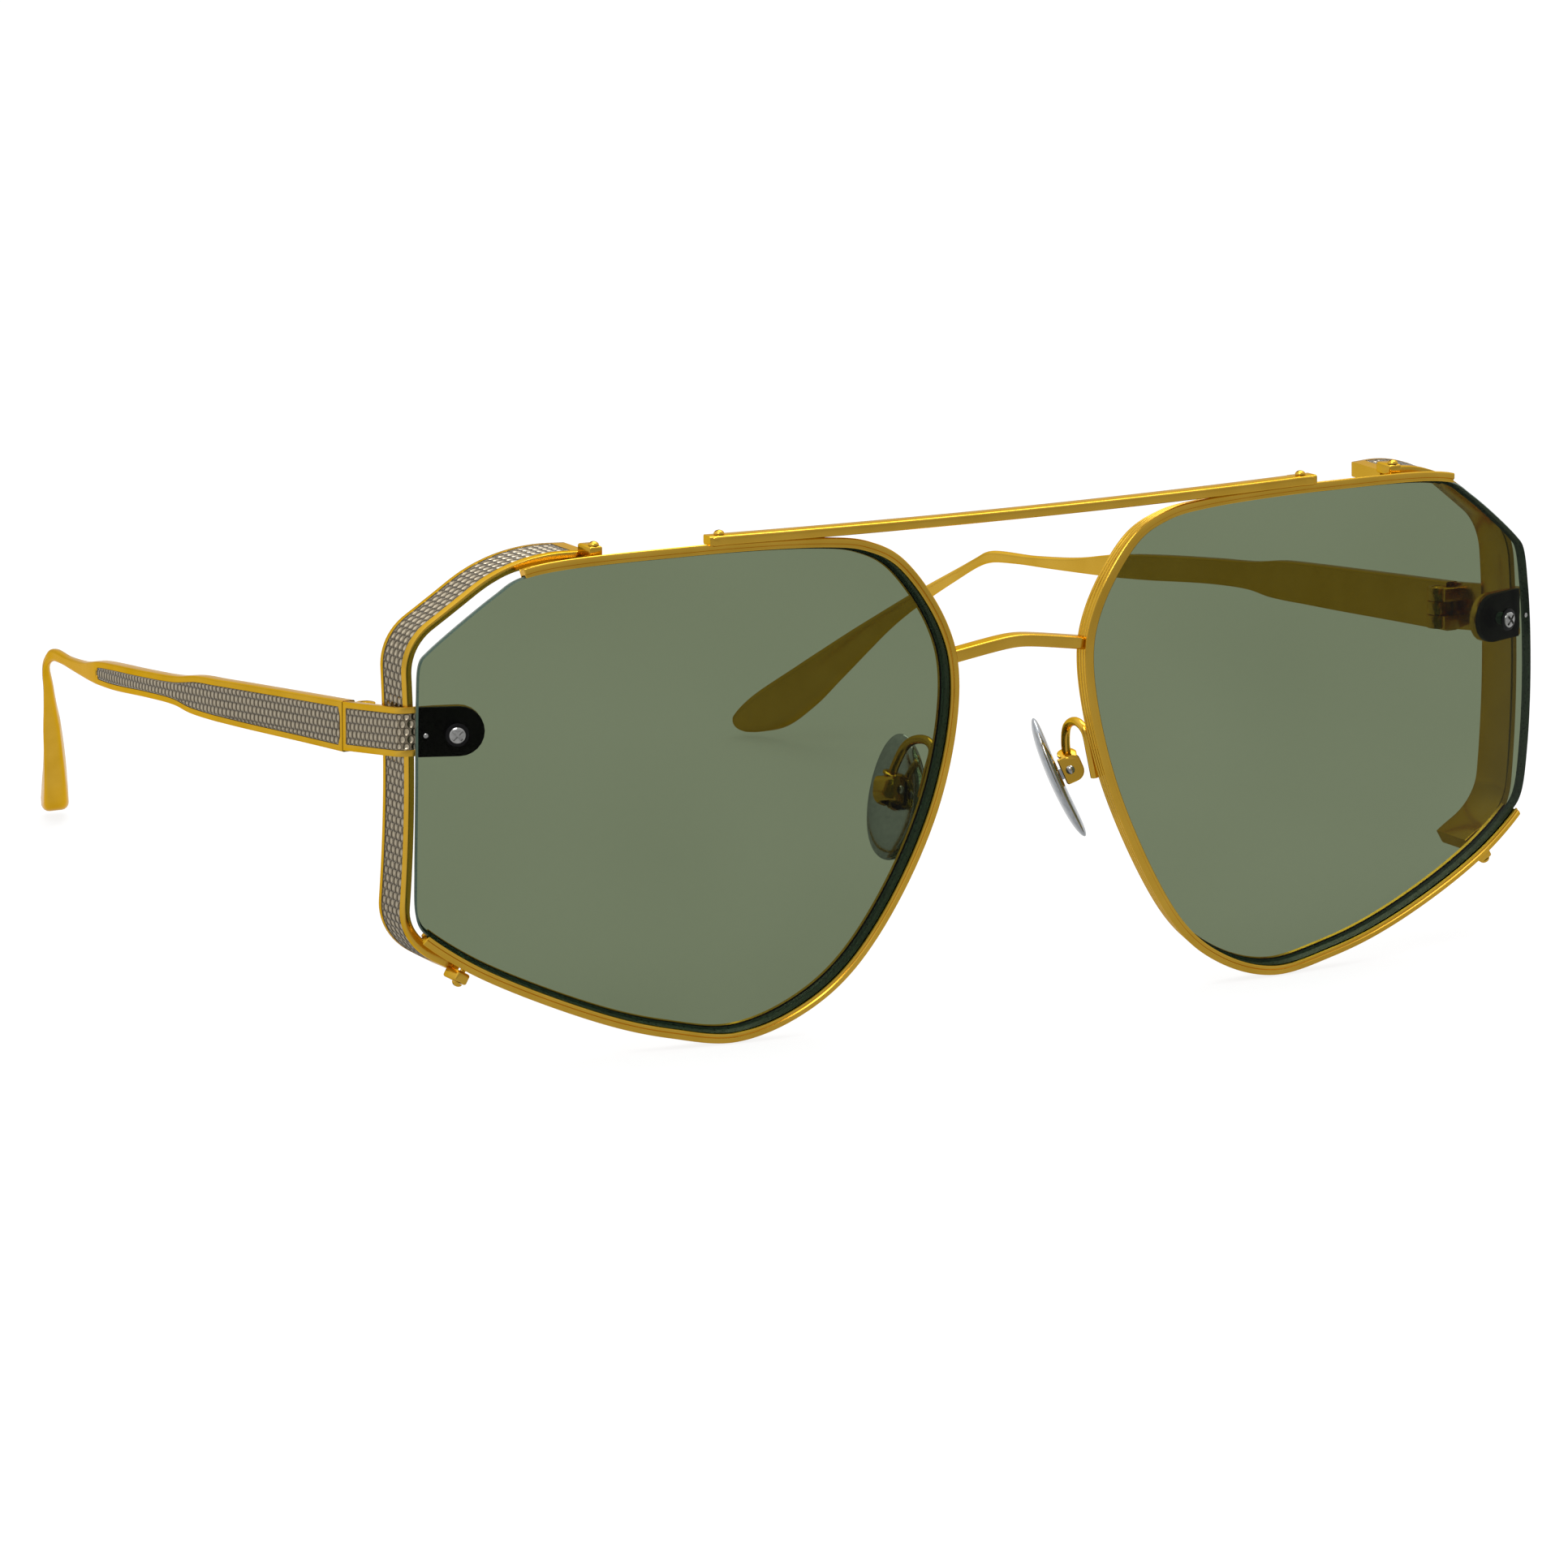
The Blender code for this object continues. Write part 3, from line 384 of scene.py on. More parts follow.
def smooth(points, steps, closed):
    """Centripetal Catmull-Rom curve through the points."""
    pts = [Vector(p).to_3d() for p in points]
    if closed:
        pts = [pts[-1]] + pts + pts[:2]
    else:
        pts = [2 * pts[0] - pts[1]] + pts + [2 * pts[-1] - pts[-2]]
    curve = []
    for a, b, c, d in zip(pts, pts[1:], pts[2:], pts[3:]):
        tb = math.sqrt((b - a).length)
        tc = tb + math.sqrt((c - b).length)
        td = tc + math.sqrt((d - c).length)
        for i in range(steps):
            t = tb + (tc - tb) * i / steps
            ab = a + (b - a) * (t / tb)
            bc = b + (c - b) * ((t - tb) / (tc - tb))
            cd = c + (d - c) * ((t - tc) / (td - tc))
            abc = ab + (bc - ab) * (t / tc)
            bcd = bc + (cd - bc) * ((t - tb) / (td - tb))
            curve.append(abc + (bcd - abc) * ((t - tb) / (tc - tb)))
    if not closed:
        curve.append(pts[-2])
    return curve


def rounded(corners, steps):
    """Open line through the corners, each with an arc of its own radius."""
    line = [Vector(corners[0][:2])]
    for before, corner, after in zip(corners, corners[1:], corners[2:]):
        p = Vector(corner[:2])
        u = (Vector(before[:2]) - p).normalized()
        v = (Vector(after[:2]) - p).normalized()
        half = u.angle(v) / 2
        centre = p + (u + v).normalized() * corner[2] / math.sin(half)
        first = p + u * corner[2] / math.tan(half) - centre
        last = p + v * corner[2] / math.tan(half) - centre
        turn = first.angle_signed(last)
        for i in range(steps + 1):
            line.append(centre + Matrix.Rotation(-turn * i / steps, 2) @ first)
    line.append(Vector(corners[-1][:2]))
    return line


class Track:
    """A flat line that is read by the length along it: a place and the direction to its left."""

    def __init__(self, line):
        self.line = np.array([p[:2] for p in line])
        steps = np.linalg.norm(np.diff(self.line, axis=0), axis=1)
        self.at = np.concatenate([[0.0], np.cumsum(steps)])
        self.long = self.at[-1]

    def place(self, length):
        return Vector([np.interp(length, self.at, self.line[:, i]) for i in (0, 1)])

    def run(self, length):
        reach = 0.15
        ahead = self.place(min(length + reach, self.long))
        return (ahead - self.place(max(length - reach, 0.0))).normalized()

    def left(self, length):
        run = self.run(length)
        return Vector((-run.y, run.x))

    def where(self, axis, value):
        """Length at which the line first passes a value, going down."""
        for i in range(len(self.line) - 1):
            a, b = self.line[i][axis], self.line[i + 1][axis]
            if a >= value > b:
                return self.at[i] + (self.at[i + 1] - self.at[i]) * (a - value) / (a - b)
        return self.long


def rounded_box(wide, tall, radius, steps=4):
    """Points round a rectangle with rounded corners, centred on zero."""
    ring = []
    for k, (u, v) in enumerate(((1, 1), (-1, 1), (-1, -1), (1, -1))):
        for i in range(steps + 1):
            a = math.pi / 2 * (k + i / steps)
            x = u * (wide / 2 - radius) + radius * math.cos(a)
            ring.append((x, v * (tall / 2 - radius) + radius * math.sin(a)))
    return ring


# Meshes

def loft(rings, ring_closed=True, ends=True):
    """Faces between rings of points, with the first and last ring closed."""
    bm = bmesh.new()
    rows = [[bm.verts.new(p) for p in ring] for ring in rings]
    count = len(rows[0])
    for a, b in zip(rows, rows[1:]):
        for i in range(count if ring_closed else count - 1):
            j = (i + 1) % count
            bm.faces.new((a[i], a[j], b[j], b[i]))
    if ends:
        bm.faces.new(rows[0])
        bm.faces.new(rows[-1][::-1])
    return bm


def clean(bm, merge=0.001):
    """Merged points, no faces without area, and faces that look outwards."""
    bmesh.ops.remove_doubles(bm, verts=bm.verts, dist=merge)
    bmesh.ops.dissolve_degenerate(bm, edges=bm.edges, dist=merge / 2)
    bmesh.ops.recalc_face_normals(bm, faces=bm.faces)
    if bm.calc_volume(signed=True) < 0:
        bmesh.ops.reverse_faces(bm, faces=bm.faces)
    return bm


def piece(name, bm, body, slot, nodes=(), sharp=35.0):
    """A mesh in millimetres becomes a piece in the frame of the solids."""
    bm.transform(Matrix.Translation(DATUM) @ Matrix.Scale(MM, 4))
    mesh = bpy.data.meshes.new(name)
    bm.to_mesh(mesh)
    bm.free()
    mesh.polygons.foreach_set("use_smooth", [True] * len(mesh.polygons))
    mesh.set_sharp_from_angle(angle=math.radians(sharp))
    obj = bpy.data.objects.new(name, mesh)
    bpy.context.scene.collection.objects.link(obj)
    for material in FINISHES[slot]:
        mesh.materials.append(material)
    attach(obj, body)
    if nodes:
        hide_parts(*nodes)
    return obj


def pair(name, bm, body, slot, node=None, sharp=35.0):
    """The same piece on the left and, mirrored, on the right; body and node are given without a side."""
    for side in (LEFT, RIGHT):
        copy = bm.copy()
        if side == RIGHT:
            copy.transform(Matrix.Scale(-1, 4, (1, 0, 0)))
            bmesh.ops.reverse_faces(copy, faces=copy.faces)
        rides = body if body == "front" else body + side
        piece(name + side, copy, rides, slot, [node + side] if node else (), sharp)
    bm.free()


def solid_of(bm):
    """A helper object that holds a mesh while it is cut or joined."""
    mesh = bpy.data.meshes.new("helper")
    clean(bm).to_mesh(mesh)
    bm.free()
    obj = bpy.data.objects.new("helper", mesh)
    bpy.context.scene.collection.objects.link(obj)
    return obj


def joined(bm, tools, operation):
    """A mesh with others cut away or added."""
    obj = solid_of(bm)
    helpers = [solid_of(tool) for tool in tools]
    for helper in helpers:
        change = obj.modifiers.new("change", "BOOLEAN")
        change.operation = operation
        change.solver = "EXACT"
        change.object = helper
    graph = bpy.context.evaluated_depsgraph_get()
    result = bmesh.new()
    mesh = bpy.data.meshes.new_from_object(obj.evaluated_get(graph))
    result.from_mesh(mesh)
    bpy.data.meshes.remove(mesh)
    for helper in helpers + [obj]:
        bpy.data.meshes.remove(helper.data)
    return clean(result)


def softened(bm, width, segments=3, angle=30.0):
    """The mesh with its sharp edges rounded."""
    edges = [e for e in bm.edges if len(e.link_faces) == 2 and e.calc_face_angle() > math.radians(angle)]
    bmesh.ops.bevel(bm, geom=edges, offset=width, segments=segments, profile=0.5, affect="EDGES",
                    clamp_overlap=True)
    return bm


def block(low, high, basis=Matrix()):
    bm = bmesh.new()
    size = [h - l for l, h in zip(low, high)]
    middle = [(l + h) / 2 for l, h in zip(low, high)]
    bmesh.ops.create_cube(bm, size=1.0, matrix=basis @ Matrix.LocRotScale(middle, None, size))
    return bm


def turned(profile, basis, steps=36, hollow=False):
    """A profile of (radius, height) points turned about the third axis of the basis."""
    rings = []
    for k in range(steps):
        a = 2 * math.pi * k / steps
        rings.append([basis @ Vector((r * math.cos(a), r * math.sin(a), h)) for r, h in profile])
    rings.append(rings[0])
    return clean(loft(rings, ring_closed=hollow, ends=False))


def rod(radius, low, high, basis, steps=32):
    return turned([(0, high), (radius, high), (radius, low), (0, low)], basis, steps)


def basis_at(origin, third, first=Vector((1, 0, 0))):
    """Axes with the third along a direction and the first as near as can be to another."""
    z = Vector(third).normalized()
    x = (first - z * first.dot(z)).normalized()
    basis = Matrix((x, z.cross(x), z)).transposed().to_4x4()
    basis.translation = origin
    return basis


def on_lens(p, under=0.0):
    """Point of the lens front, or of the sphere a depth under it, at x, z."""
    flat = (p[0] - LENS_CENTRE.x) ** 2 + (p[1] - LENS_CENTRE.z) ** 2
    return Vector((p[0], LENS_CENTRE.y - math.sqrt((LENS_RADIUS - under) ** 2 - flat), p[1]))


def dimple(along, across):
    """How far a dimple is in, from 0 on the ridges to 1 at its middle, at a place on the sheet."""
    best = 0.0
    first = math.floor(across / DIMPLE_ROW)
    for row in (first, first + 1):
        step = along / DIMPLE_PITCH - 0.5 * (row % 2)
        u = (step - round(step)) * DIMPLE_PITCH / DIMPLE_HALF_LONG
        v = (across - row * DIMPLE_ROW) / DIMPLE_HALF_TALL
        best = max(best, 1.0 - (u * u + v * v))
    return best


def pressed_inlay(place, spot, wide, long, under):
    """A dimpled sheet: place(s, t, depth) gives its points, s along it and t from 0 to 1 across it.

    spot(s, t) is the place in the pattern, wide(s) the width there and under the thickness."""
    columns = round(long / DIMPLE_CELL)
    lanes = round(max(wide(0.0), wide(long / 2)) / DIMPLE_CELL)
    bm = bmesh.new()
    layer = bm.verts.layers.float.new("pit")
    face = []
    for i in range(columns + 1):
        s = long * i / columns
        line = []
        for j in range(lanes + 1):
            t = j / lanes
            rim = min(s, long - s, t * wide(s), (1 - t) * wide(s))
            pit = dimple(*spot(s, t)) * min(1.0, max(0.0, rim - DIMPLE_MARGIN) / DIMPLE_FADE)
            vert = bm.verts.new(place(s, t, DIMPLE_DEEP * pit))
            vert[layer] = pit
            line.append(vert)
        face.append(line)
    for a, b in zip(face, face[1:]):
        for j in range(lanes):
            bm.faces.new((a[j], a[j + 1], b[j + 1], b[j]))
    edge = [line[0] for line in face] + face[-1][1:] + [line[-1] for line in face[-2::-1]] + face[0][-2:0:-1]
    spots = [(long * i / columns, 0.0) for i in range(columns + 1)]
    spots += [(long, j / lanes) for j in range(1, lanes + 1)]
    spots += [(long * i / columns, 1.0) for i in range(columns - 1, -1, -1)]
    spots += [(0.0, j / lanes) for j in range(lanes - 1, 0, -1)]
    back = [bm.verts.new(place(s, t, under)) for s, t in spots]
    for i in range(len(edge)):
        j = (i + 1) % len(edge)
        bm.faces.new((edge[i], edge[j], back[j], back[i]))
    for i in range(columns):
        low_a, low_b = back[i], back[i + 1]
        high_a = back[(2 * columns + lanes - i) % len(back)]
        high_b = back[2 * columns + lanes - i - 1]
        bm.faces.new(list(dict.fromkeys((low_a, low_b, high_b, high_a))))
    return clean(bm, 0.0005)


# Lens and rim

outline = [on_lens(p) for p in smooth(RIM_OUTLINE + FREE_OUTLINE, OUTLINE_STEPS, True)]
rim_path = outline[:(len(RIM_OUTLINE) - 1) * OUTLINE_STEPS + 1]
wrap = math.asin((SCREW_X - LENS_CENTRE.x) / LENS_RADIUS)
across = Vector((math.cos(wrap), math.sin(wrap), 0))
backwards = Vector((-math.sin(wrap), math.cos(wrap), 0))
mount = basis_at(on_lens((SCREW_X, 0.0)), backwards, across)
mount_out = mount @ Matrix.Rotation(math.pi, 4, "X")


def lens():
    """Two polished spheres that meet in a ground edge with a fine bevel."""
    rim = [Vector((p.x, p.z)) for p in outline]
    fractions = [(k / LENS_RINGS) ** 0.8 for k in range(1, LENS_RINGS + 1)]
    rings = []
    arms = [(p - LENS_MIDDLE, (p - LENS_MIDDLE).length) for p in rim]
    for f in fractions:
        rings.append([on_lens(LENS_MIDDLE + arm * f * (1 - LENS_EDGE / long)) for arm, long in arms])
    for depth in (LENS_EDGE, LENS_THICK - LENS_EDGE):
        rings.append([LENS_CENTRE + (on_lens(p) - LENS_CENTRE) * (1 - depth / LENS_RADIUS) for p in rim])
    shrink = 1 - LENS_THICK / LENS_RADIUS
    for ring in rings[LENS_RINGS - 1::-1]:
        rings.append([LENS_CENTRE + (p - LENS_CENTRE) * shrink for p in ring])
    bm = loft(rings, ends=False)
    bm.verts.ensure_lookup_table()
    count = len(rim)
    total = len(bm.verts)
    front = bm.verts.new(on_lens(LENS_MIDDLE))
    rear = bm.verts.new(LENS_CENTRE + (front.co - LENS_CENTRE) * shrink)
    bm.verts.ensure_lookup_table()
    for i in range(count):
        j = (i + 1) % count
        bm.faces.new((bm.verts[j], bm.verts[i], front))
        bm.faces.new((bm.verts[total - count + i], bm.verts[total - count + j], rear))
    glass = joined(bm, [rod(SCREW_R + SCREW_PLAY, -3, 5, mount)], "DIFFERENCE")
    for face in glass.faces:
        outwards = (face.calc_center_median() - LENS_CENTRE).normalized()
        face.material_index = int(abs(face.normal.dot(outwards)) < 0.8)
    return glass


def rim_profile():
    """Channel round the lens edge: a step in front, rounded corners and round-bottomed grooves outside."""
    floor = LENS_THICK + LENS_PLAY
    back = floor + RIM_BACK
    step = RIM_STEP - RIM_FRONT
    wall, front = RIM_WALL - RIM_CORNER, RIM_CORNER - RIM_FRONT
    line = [(-RIM_LIP, RIM_BEVEL + step), (RIM_BEVEL - RIM_LIP, step)]
    line += [(STEP_AT, step), (STEP_AT + RIM_BEVEL, -RIM_FRONT)]
    line += [(wall + RIM_CORNER * math.sin(a), front - RIM_CORNER * math.cos(a)) for a in QUARTER]
    pitch = (back + RIM_FRONT - 2 * RIM_CORNER) / RIM_GROOVES
    for i in range(RIM_GROOVES):
        middle = front + pitch * (i + 0.5)
        for k in range(-3, 4):
            dip = GROOVE_DEPTH * (0.5 + 0.5 * math.cos(math.pi * k / 3))
            line.append((RIM_WALL - dip, middle + GROOVE_WIDTH * k / 6))
    line += [(wall + RIM_CORNER * math.cos(a), back - RIM_CORNER + RIM_CORNER * math.sin(a)) for a in QUARTER]
    line += [(RIM_BEVEL - RIM_LIP, back), (-RIM_LIP, back - RIM_BEVEL), (-RIM_LIP, floor)]
    return line + [(RIM_SEAT, floor), (RIM_SEAT, -LENS_PLAY), (-RIM_LIP, -LENS_PLAY)]


def rim():
    """The profile along the held part of the lens outline, drawn in a little at both ends."""
    profile = rim_profile()
    middle = Vector((RIM_WALL / 2, (LENS_THICK + LENS_PLAY) / 2))
    path = [rim_path[0], rim_path[0].lerp(rim_path[1], 0.12)] + rim_path[1:-1]
    path += [rim_path[-2].lerp(rim_path[-1], 0.88), rim_path[-1]]
    rings = []
    for i, p in enumerate(path):
        along = path[min(i + 1, len(path) - 1)] - path[max(i - 1, 0)]
        face = (p - LENS_CENTRE).normalized()
        outwards = along.cross(face).normalized()
        end = i in (0, len(path) - 1)
        ring = []
        for n, d in profile:
            if end:
                n, d = middle + (Vector((n, d)) - middle) * RIM_END_SHARE
            ring.append(p + outwards * n - face * d)
        rings.append(ring)
    return clean(loft(rings))


pair("lens", lens(), "front", "glass", "lens", 30)
pair("rim", rim(), "front", "gold", "rim", 40)


# Brow bar and bridge

brow_screw_x = BAR_HALF - BAR_END
bar_y = on_lens((brow_screw_x, BAR_Z)).y + BAR_BEHIND


def brow_bar():
    """Bowed bar with a block under the screw at each end."""
    ring = rounded_box(BAR_DEEP, BAR_TALL, BAR_ROUND)
    rings = []
    for i in range(41):
        x = BAR_HALF * (i / 20 - 1)
        lean = 2 * BAR_BOW * x / BAR_HALF ** 2
        middle = Vector((x, bar_y - BAR_BOW * (1 - (x / BAR_HALF) ** 2), BAR_Z + BAR_TALL / 2))
        side = Vector((-lean, 1, 0)).normalized()
        rings.append([middle + side * u + Vector((0, 0, v)) for u, v in ring])
    ends = []
    for side in (-1, 1):
        x = side * brow_screw_x
        low = (x - BAR_BLOCK / 2, bar_y - BAR_BLOCK_HALF_DEEP, BAR_Z - 0.04)
        high = (x + BAR_BLOCK / 2, bar_y + BAR_BLOCK_HALF_DEEP, BAR_Z + BAR_TALL - 0.06)
        ends.append(softened(block(low, high), BLOCK_SOFT))
    return joined(loft(rings), ends, "UNION")


def bridge():
    """Arched bar whose ends run on into the walls of the rims."""
    middle = on_lens((BRIDGE_HALF + RIM_WALL, BRIDGE_Z)).y + BRIDGE_BEHIND
    ring = rounded_box(BRIDGE_DEEP, BRIDGE_TALL, BRIDGE_EDGE, 6)
    slope = BRIDGE_RISE / (math.hypot(1, BRIDGE_ROUND) - BRIDGE_ROUND)
    rings = []
    for i in range(33):
        t = BRIDGE_REACH * (i / 16 - 1)
        z = BRIDGE_Z + BRIDGE_RISE - slope * (math.hypot(t, BRIDGE_ROUND) - BRIDGE_ROUND)
        lean = -slope * t / math.hypot(t, BRIDGE_ROUND) / BRIDGE_HALF
        up = Vector((-lean, 0, 1)).normalized()
        rings.append([Vector((BRIDGE_HALF * t, middle + u, z)) + up * v for u, v in ring])
    return clean(loft(rings))


piece("brow_bar", brow_bar(), "front", "gold", ["brow_bar"])
piece("bridge", bridge(), "front", "gold", ["bridge"])


# Side shield

shield_track = Track(rounded(SHIELD, 14))
block_long = SHIELD_BLOCK - BLOCK_PAST + 0.3
shield_upper = (block_long, shield_track.where(1, INLAY_SPLIT / 2))
shield_lower = (shield_track.where(1, -INLAY_SPLIT / 2), shield_track.long - block_long)


def on_shield(length, deep, under):
    """Point of the shield: a length along it, a depth behind its front edge, a thickness under its face."""
    face = shield_track.place(length)
    p = face - shield_track.left(length) * under
    return Vector((p.x, on_lens(face).y + SHIELD_BEHIND + deep, p.y))


def shield_screw(length):
    """Top of the block round a screw."""
    p = shield_track.place(length)
    out = shield_track.left(length)
    origin = Vector((p.x, on_lens(p).y + SCREW_BEHIND, p.y))
    return basis_at(origin, (out.x, 0, out.y)) @ Matrix.Translation((0, 0, BLOCK_OVER))


shield_top = shield_screw(SHIELD_BLOCK / 2 - BLOCK_PAST)
shield_low = shield_screw(shield_track.long - SHIELD_BLOCK / 2 + BLOCK_PAST)


def shield_section(length, sunk):
    """Ring round the strip, whose face may be sunk for the inlay; it thickens where it meets the rim."""
    e = SHIELD_EDGE
    near_end = max(0.0, 1 - min(length, shield_track.long - length) / SHIELD_ROOT)
    back, thick = SHIELD_DEEP, SHIELD_THICK + SHIELD_ROOT_THICK * near_end ** 2 * (3 - 2 * near_end)
    near, far, cut = SHIELD_FRONT, back - BORDER, 0.3 * e
    line = [(0, e), (cut, cut), (e, 0), (near, 0), (near, sunk), (far, sunk), (far, 0)]
    line += [(back - e, 0), (back - cut, cut), (back, e), (back, thick - e), (back - cut, thick - cut)]
    line += [(back - e, thick), (e, thick), (cut, thick - cut), (0, thick - e)]
    return [on_shield(length, deep, under) for deep, under in line]


def side_shield():
    """The strip with its two recesses, and the block at each end that is screwed to the rim."""
    lengths = set(np.linspace(0, shield_track.long, 110))
    hair = 0.004
    for start, end in (shield_upper, shield_lower):
        lengths |= {start - hair, start + hair, end - hair, end + hair}
    rings = []
    for length in sorted(lengths):
        sunk = any(start < length < end for start, end in (shield_upper, shield_lower))
        rings.append(shield_section(length, SHIELD_RECESS if sunk else 0.0))
    ends = []
    for place in (shield_top, shield_low):
        ys = sorted(place.col[1].y * y for y in (-BLOCK_FRONT, SHIELD_BEHIND - SCREW_BEHIND + BLOCK_GRIP))
        low = (-SHIELD_BLOCK / 2, ys[0], -BLOCK_OVER - BLOCK_UNDER)
        ends.append(softened(block(low, (SHIELD_BLOCK / 2, ys[1], 0), place), BLOCK_SOFT))
    return joined(loft(rings), ends, "UNION")


def shield_inlay(span):
    start, end = span[0] + INLAY_GAP, span[1] - INLAY_GAP
    near = SHIELD_FRONT + INLAY_GAP
    wide = SHIELD_DEEP - BORDER - INLAY_GAP - near
    return pressed_inlay(lambda s, t, depth: on_shield(start + s, near + t * wide, INLAY_GAP + depth),
                         lambda s, t: (t * wide, s), lambda s: wide, end - start,
                         SHIELD_RECESS - 2 * INLAY_GAP)


pair("side_shield", side_shield(), "front", "gold", "side_shield")
pair("shield_inlay_upper", shield_inlay(shield_upper), "front", "silver", "shield_inlay_upper", 60)
pair("shield_inlay_lower", shield_inlay(shield_lower), "front", "silver", "shield_inlay_lower", 60)


# Lens mount and endpiece

strip_front = LENS_THICK + TAB_GAP + TAB_THICK + 0.1
strip_start = mount.translation + backwards * strip_front
bend_at = (SIDE_X - STRIP_BEND - (strip_start + backwards * STRIP_BEND).x) / across.x
bend_centre = strip_start + across * bend_at + backwards * STRIP_BEND
strip_line = [strip_start - across * TAB_IN]
for k in range(15):
    angle = wrap - math.pi / 2 + (math.pi / 2 - wrap) * k / 14
    strip_line.append(bend_centre + STRIP_BEND * Vector((math.cos(angle), math.sin(angle), 0)))
strip_line.append(Vector((SIDE_X, SEAM_Y, 0)))
strip_track = Track(strip_line)
inlay_start = bend_at + TAB_IN - 0.4
hinge = Matrix.Translation((HINGE_X, SEAM_Y + SEAM_GAP / 2, -(SEAM_Y - SLOPE_START) * STRIP_SLOPE))


def on_strip(length, z, under):
    """Point of the endpiece's outer face, or under it, at a height before it runs down to the hinge."""
    p = strip_track.place(length) + strip_track.left(length) * under
    return Vector((p.x, p.y, z - max(p.y - SLOPE_START, 0.0) * STRIP_SLOPE))


def endpiece_inlay():
    start = inlay_start + INLAY_GAP
    long = strip_track.long - BORDER - INLAY_GAP - start
    tall = STRIP_TALL - 2 * (BORDER + INLAY_GAP)
    return pressed_inlay(lambda s, t, depth: on_strip(start + s, tall * (t - 0.5), INLAY_GAP + depth),
                         lambda s, t: (s, tall * (t - 0.5)), lambda s: tall, long,
                         INLAY_DEEP - 2 * INLAY_GAP)


pair("endpiece_inlay", endpiece_inlay(), "front", "silver", "endpiece_inlay", 60)


def from_solid(node, width, segments=2):
    """A copy of a solid with flat faces made whole and its edges rounded, in millimetres."""
    bm = bmesh.new()
    bm.from_mesh(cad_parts[node].data)
    bm.transform(Matrix.Scale(1 / MM, 4) @ Matrix.Translation(-DATUM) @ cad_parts[node].matrix_world)
    bmesh.ops.remove_doubles(bm, verts=bm.verts, dist=0.001)
    bmesh.ops.dissolve_limit(bm, angle_limit=math.radians(0.5), verts=bm.verts, edges=bm.edges)
    return softened(bm, width, segments, 35.0)


pair("endpiece", from_solid("endpiece_left", 0.1), "front", "gold", "endpiece", 30)
pair("lens_tab", from_solid("lens_tab_left", 0.12), "front", "black", "lens_tab", 30)
pair("lens_nut", from_solid("lens_nut_left", 0.08), "front", "gold", "lens_nut", 30)


def lens_screw():
    """Cross-slotted screw with a low domed head."""
    under = strip_front + STRIP + 0.9
    screw = turned(LENS_HEAD + [(SCREW_R, LENS_HEAD[-1][1]), (SCREW_R, -under), (0, -under)], mount_out, 40)
    slots = []
    for angle in (SLOT_TURN, SLOT_TURN + math.pi / 2):
        turn = mount_out @ Matrix.Rotation(angle, 4, "Z")
        slots.append(block((-0.72, -0.15, 0.08), (0.72, 0.15, 1), turn))
    return joined(screw, slots, "DIFFERENCE")


def dome_screw(place, under):
    """Small screw with a round slotted head; under is the length of its shank."""
    arc = np.linspace(0, math.pi / 2, 8)
    dome = [(DOME_R * math.sin(a), DOME_FOOT + DOME_TALL * math.cos(a)) for a in arc]
    screw = turned(dome + [(DOME_SHANK, DOME_FOOT), (DOME_SHANK, -under), (0, -under)], place, 28)
    return joined(screw, [block((-1, -0.09, 0.32), (1, 0.09, 1), place)], "DIFFERENCE")


def hinge_screw():
    """Pin through the three knuckles, with a flat slotted head."""
    top = KNUCKLE_TALL * 1.5 + 0.1
    head = [(radius, top + height) for radius, height in HINGE_HEAD]
    screw = turned(head + [(PIN_R, head[-1][1]), (PIN_R, -top), (0, -top)], hinge, 32)
    return joined(screw, [block((-1, -0.1, top + 0.04), (1, 0.1, top + 1), hinge)], "DIFFERENCE")


def lens_washer():
    """Dark ring under the head of the lens screw."""
    return turned(WASHER, mount_out, 40, True)


def lens_pin():
    """End of the small pin beside the screw that keeps the lens from turning."""
    place = mount_out @ Matrix.Translation((LENS_PIN_OUT, 0, -0.05))
    return turned(LENS_PIN, place, 24)


def rim_rivet():
    """Round rivet head on the top of the rim, near its end."""
    i = min(range(1, len(rim_path) - 1), key=lambda k: abs(rim_path[k].x - RIVET_X))
    face = (rim_path[i] - LENS_CENTRE).normalized()
    outwards = (rim_path[i + 1] - rim_path[i - 1]).cross(face).normalized()
    foot = rim_path[i] + outwards * (RIM_WALL - GROOVE_DEPTH) - face * LENS_THICK / 2
    arc = np.linspace(0, math.pi / 2, 7)
    dome = [(RIVET_R * math.sin(a), GROOVE_DEPTH + RIVET_TALL * math.cos(a)) for a in arc]
    return turned(dome + [(RIVET_R, 0), (0, 0)], basis_at(foot, outwards), 24)


pair("lens_washer", lens_washer(), "front", "black")
pair("lens_pin", lens_pin(), "front", "steel")
pair("rim_rivet", rim_rivet(), "front", "gold")
brow_screw = basis_at((brow_screw_x, bar_y, BAR_Z + BAR_TALL), (0, 0, 1))
pair("lens_screw", lens_screw(), "front", "steel", "lens_screw", 30)
pair("brow_screw", dome_screw(brow_screw, BAR_TALL + SCREW_INTO), "front", "gold", "brow_screw", 30)
shank = BLOCK_OVER + BLOCK_UNDER + SCREW_INTO
pair("shield_screw_top", dome_screw(shield_top, shank), "front", "gold", "shield_screw_top", 30)
pair("shield_screw_low", dome_screw(shield_low, shank), "front", "gold", "shield_screw_low", 30)
pair("hinge_screw", hinge_screw(), "front", "gold", "hinge_screw", 30)


# Temple

bend_line = np.array([p[:2] for p in smooth(BEND_LINE, 16, False)])


def bend(y):
    """How far the temple has turned inwards."""
    return float(np.interp(y, bend_line[:, 0], bend_line[:, 1]))


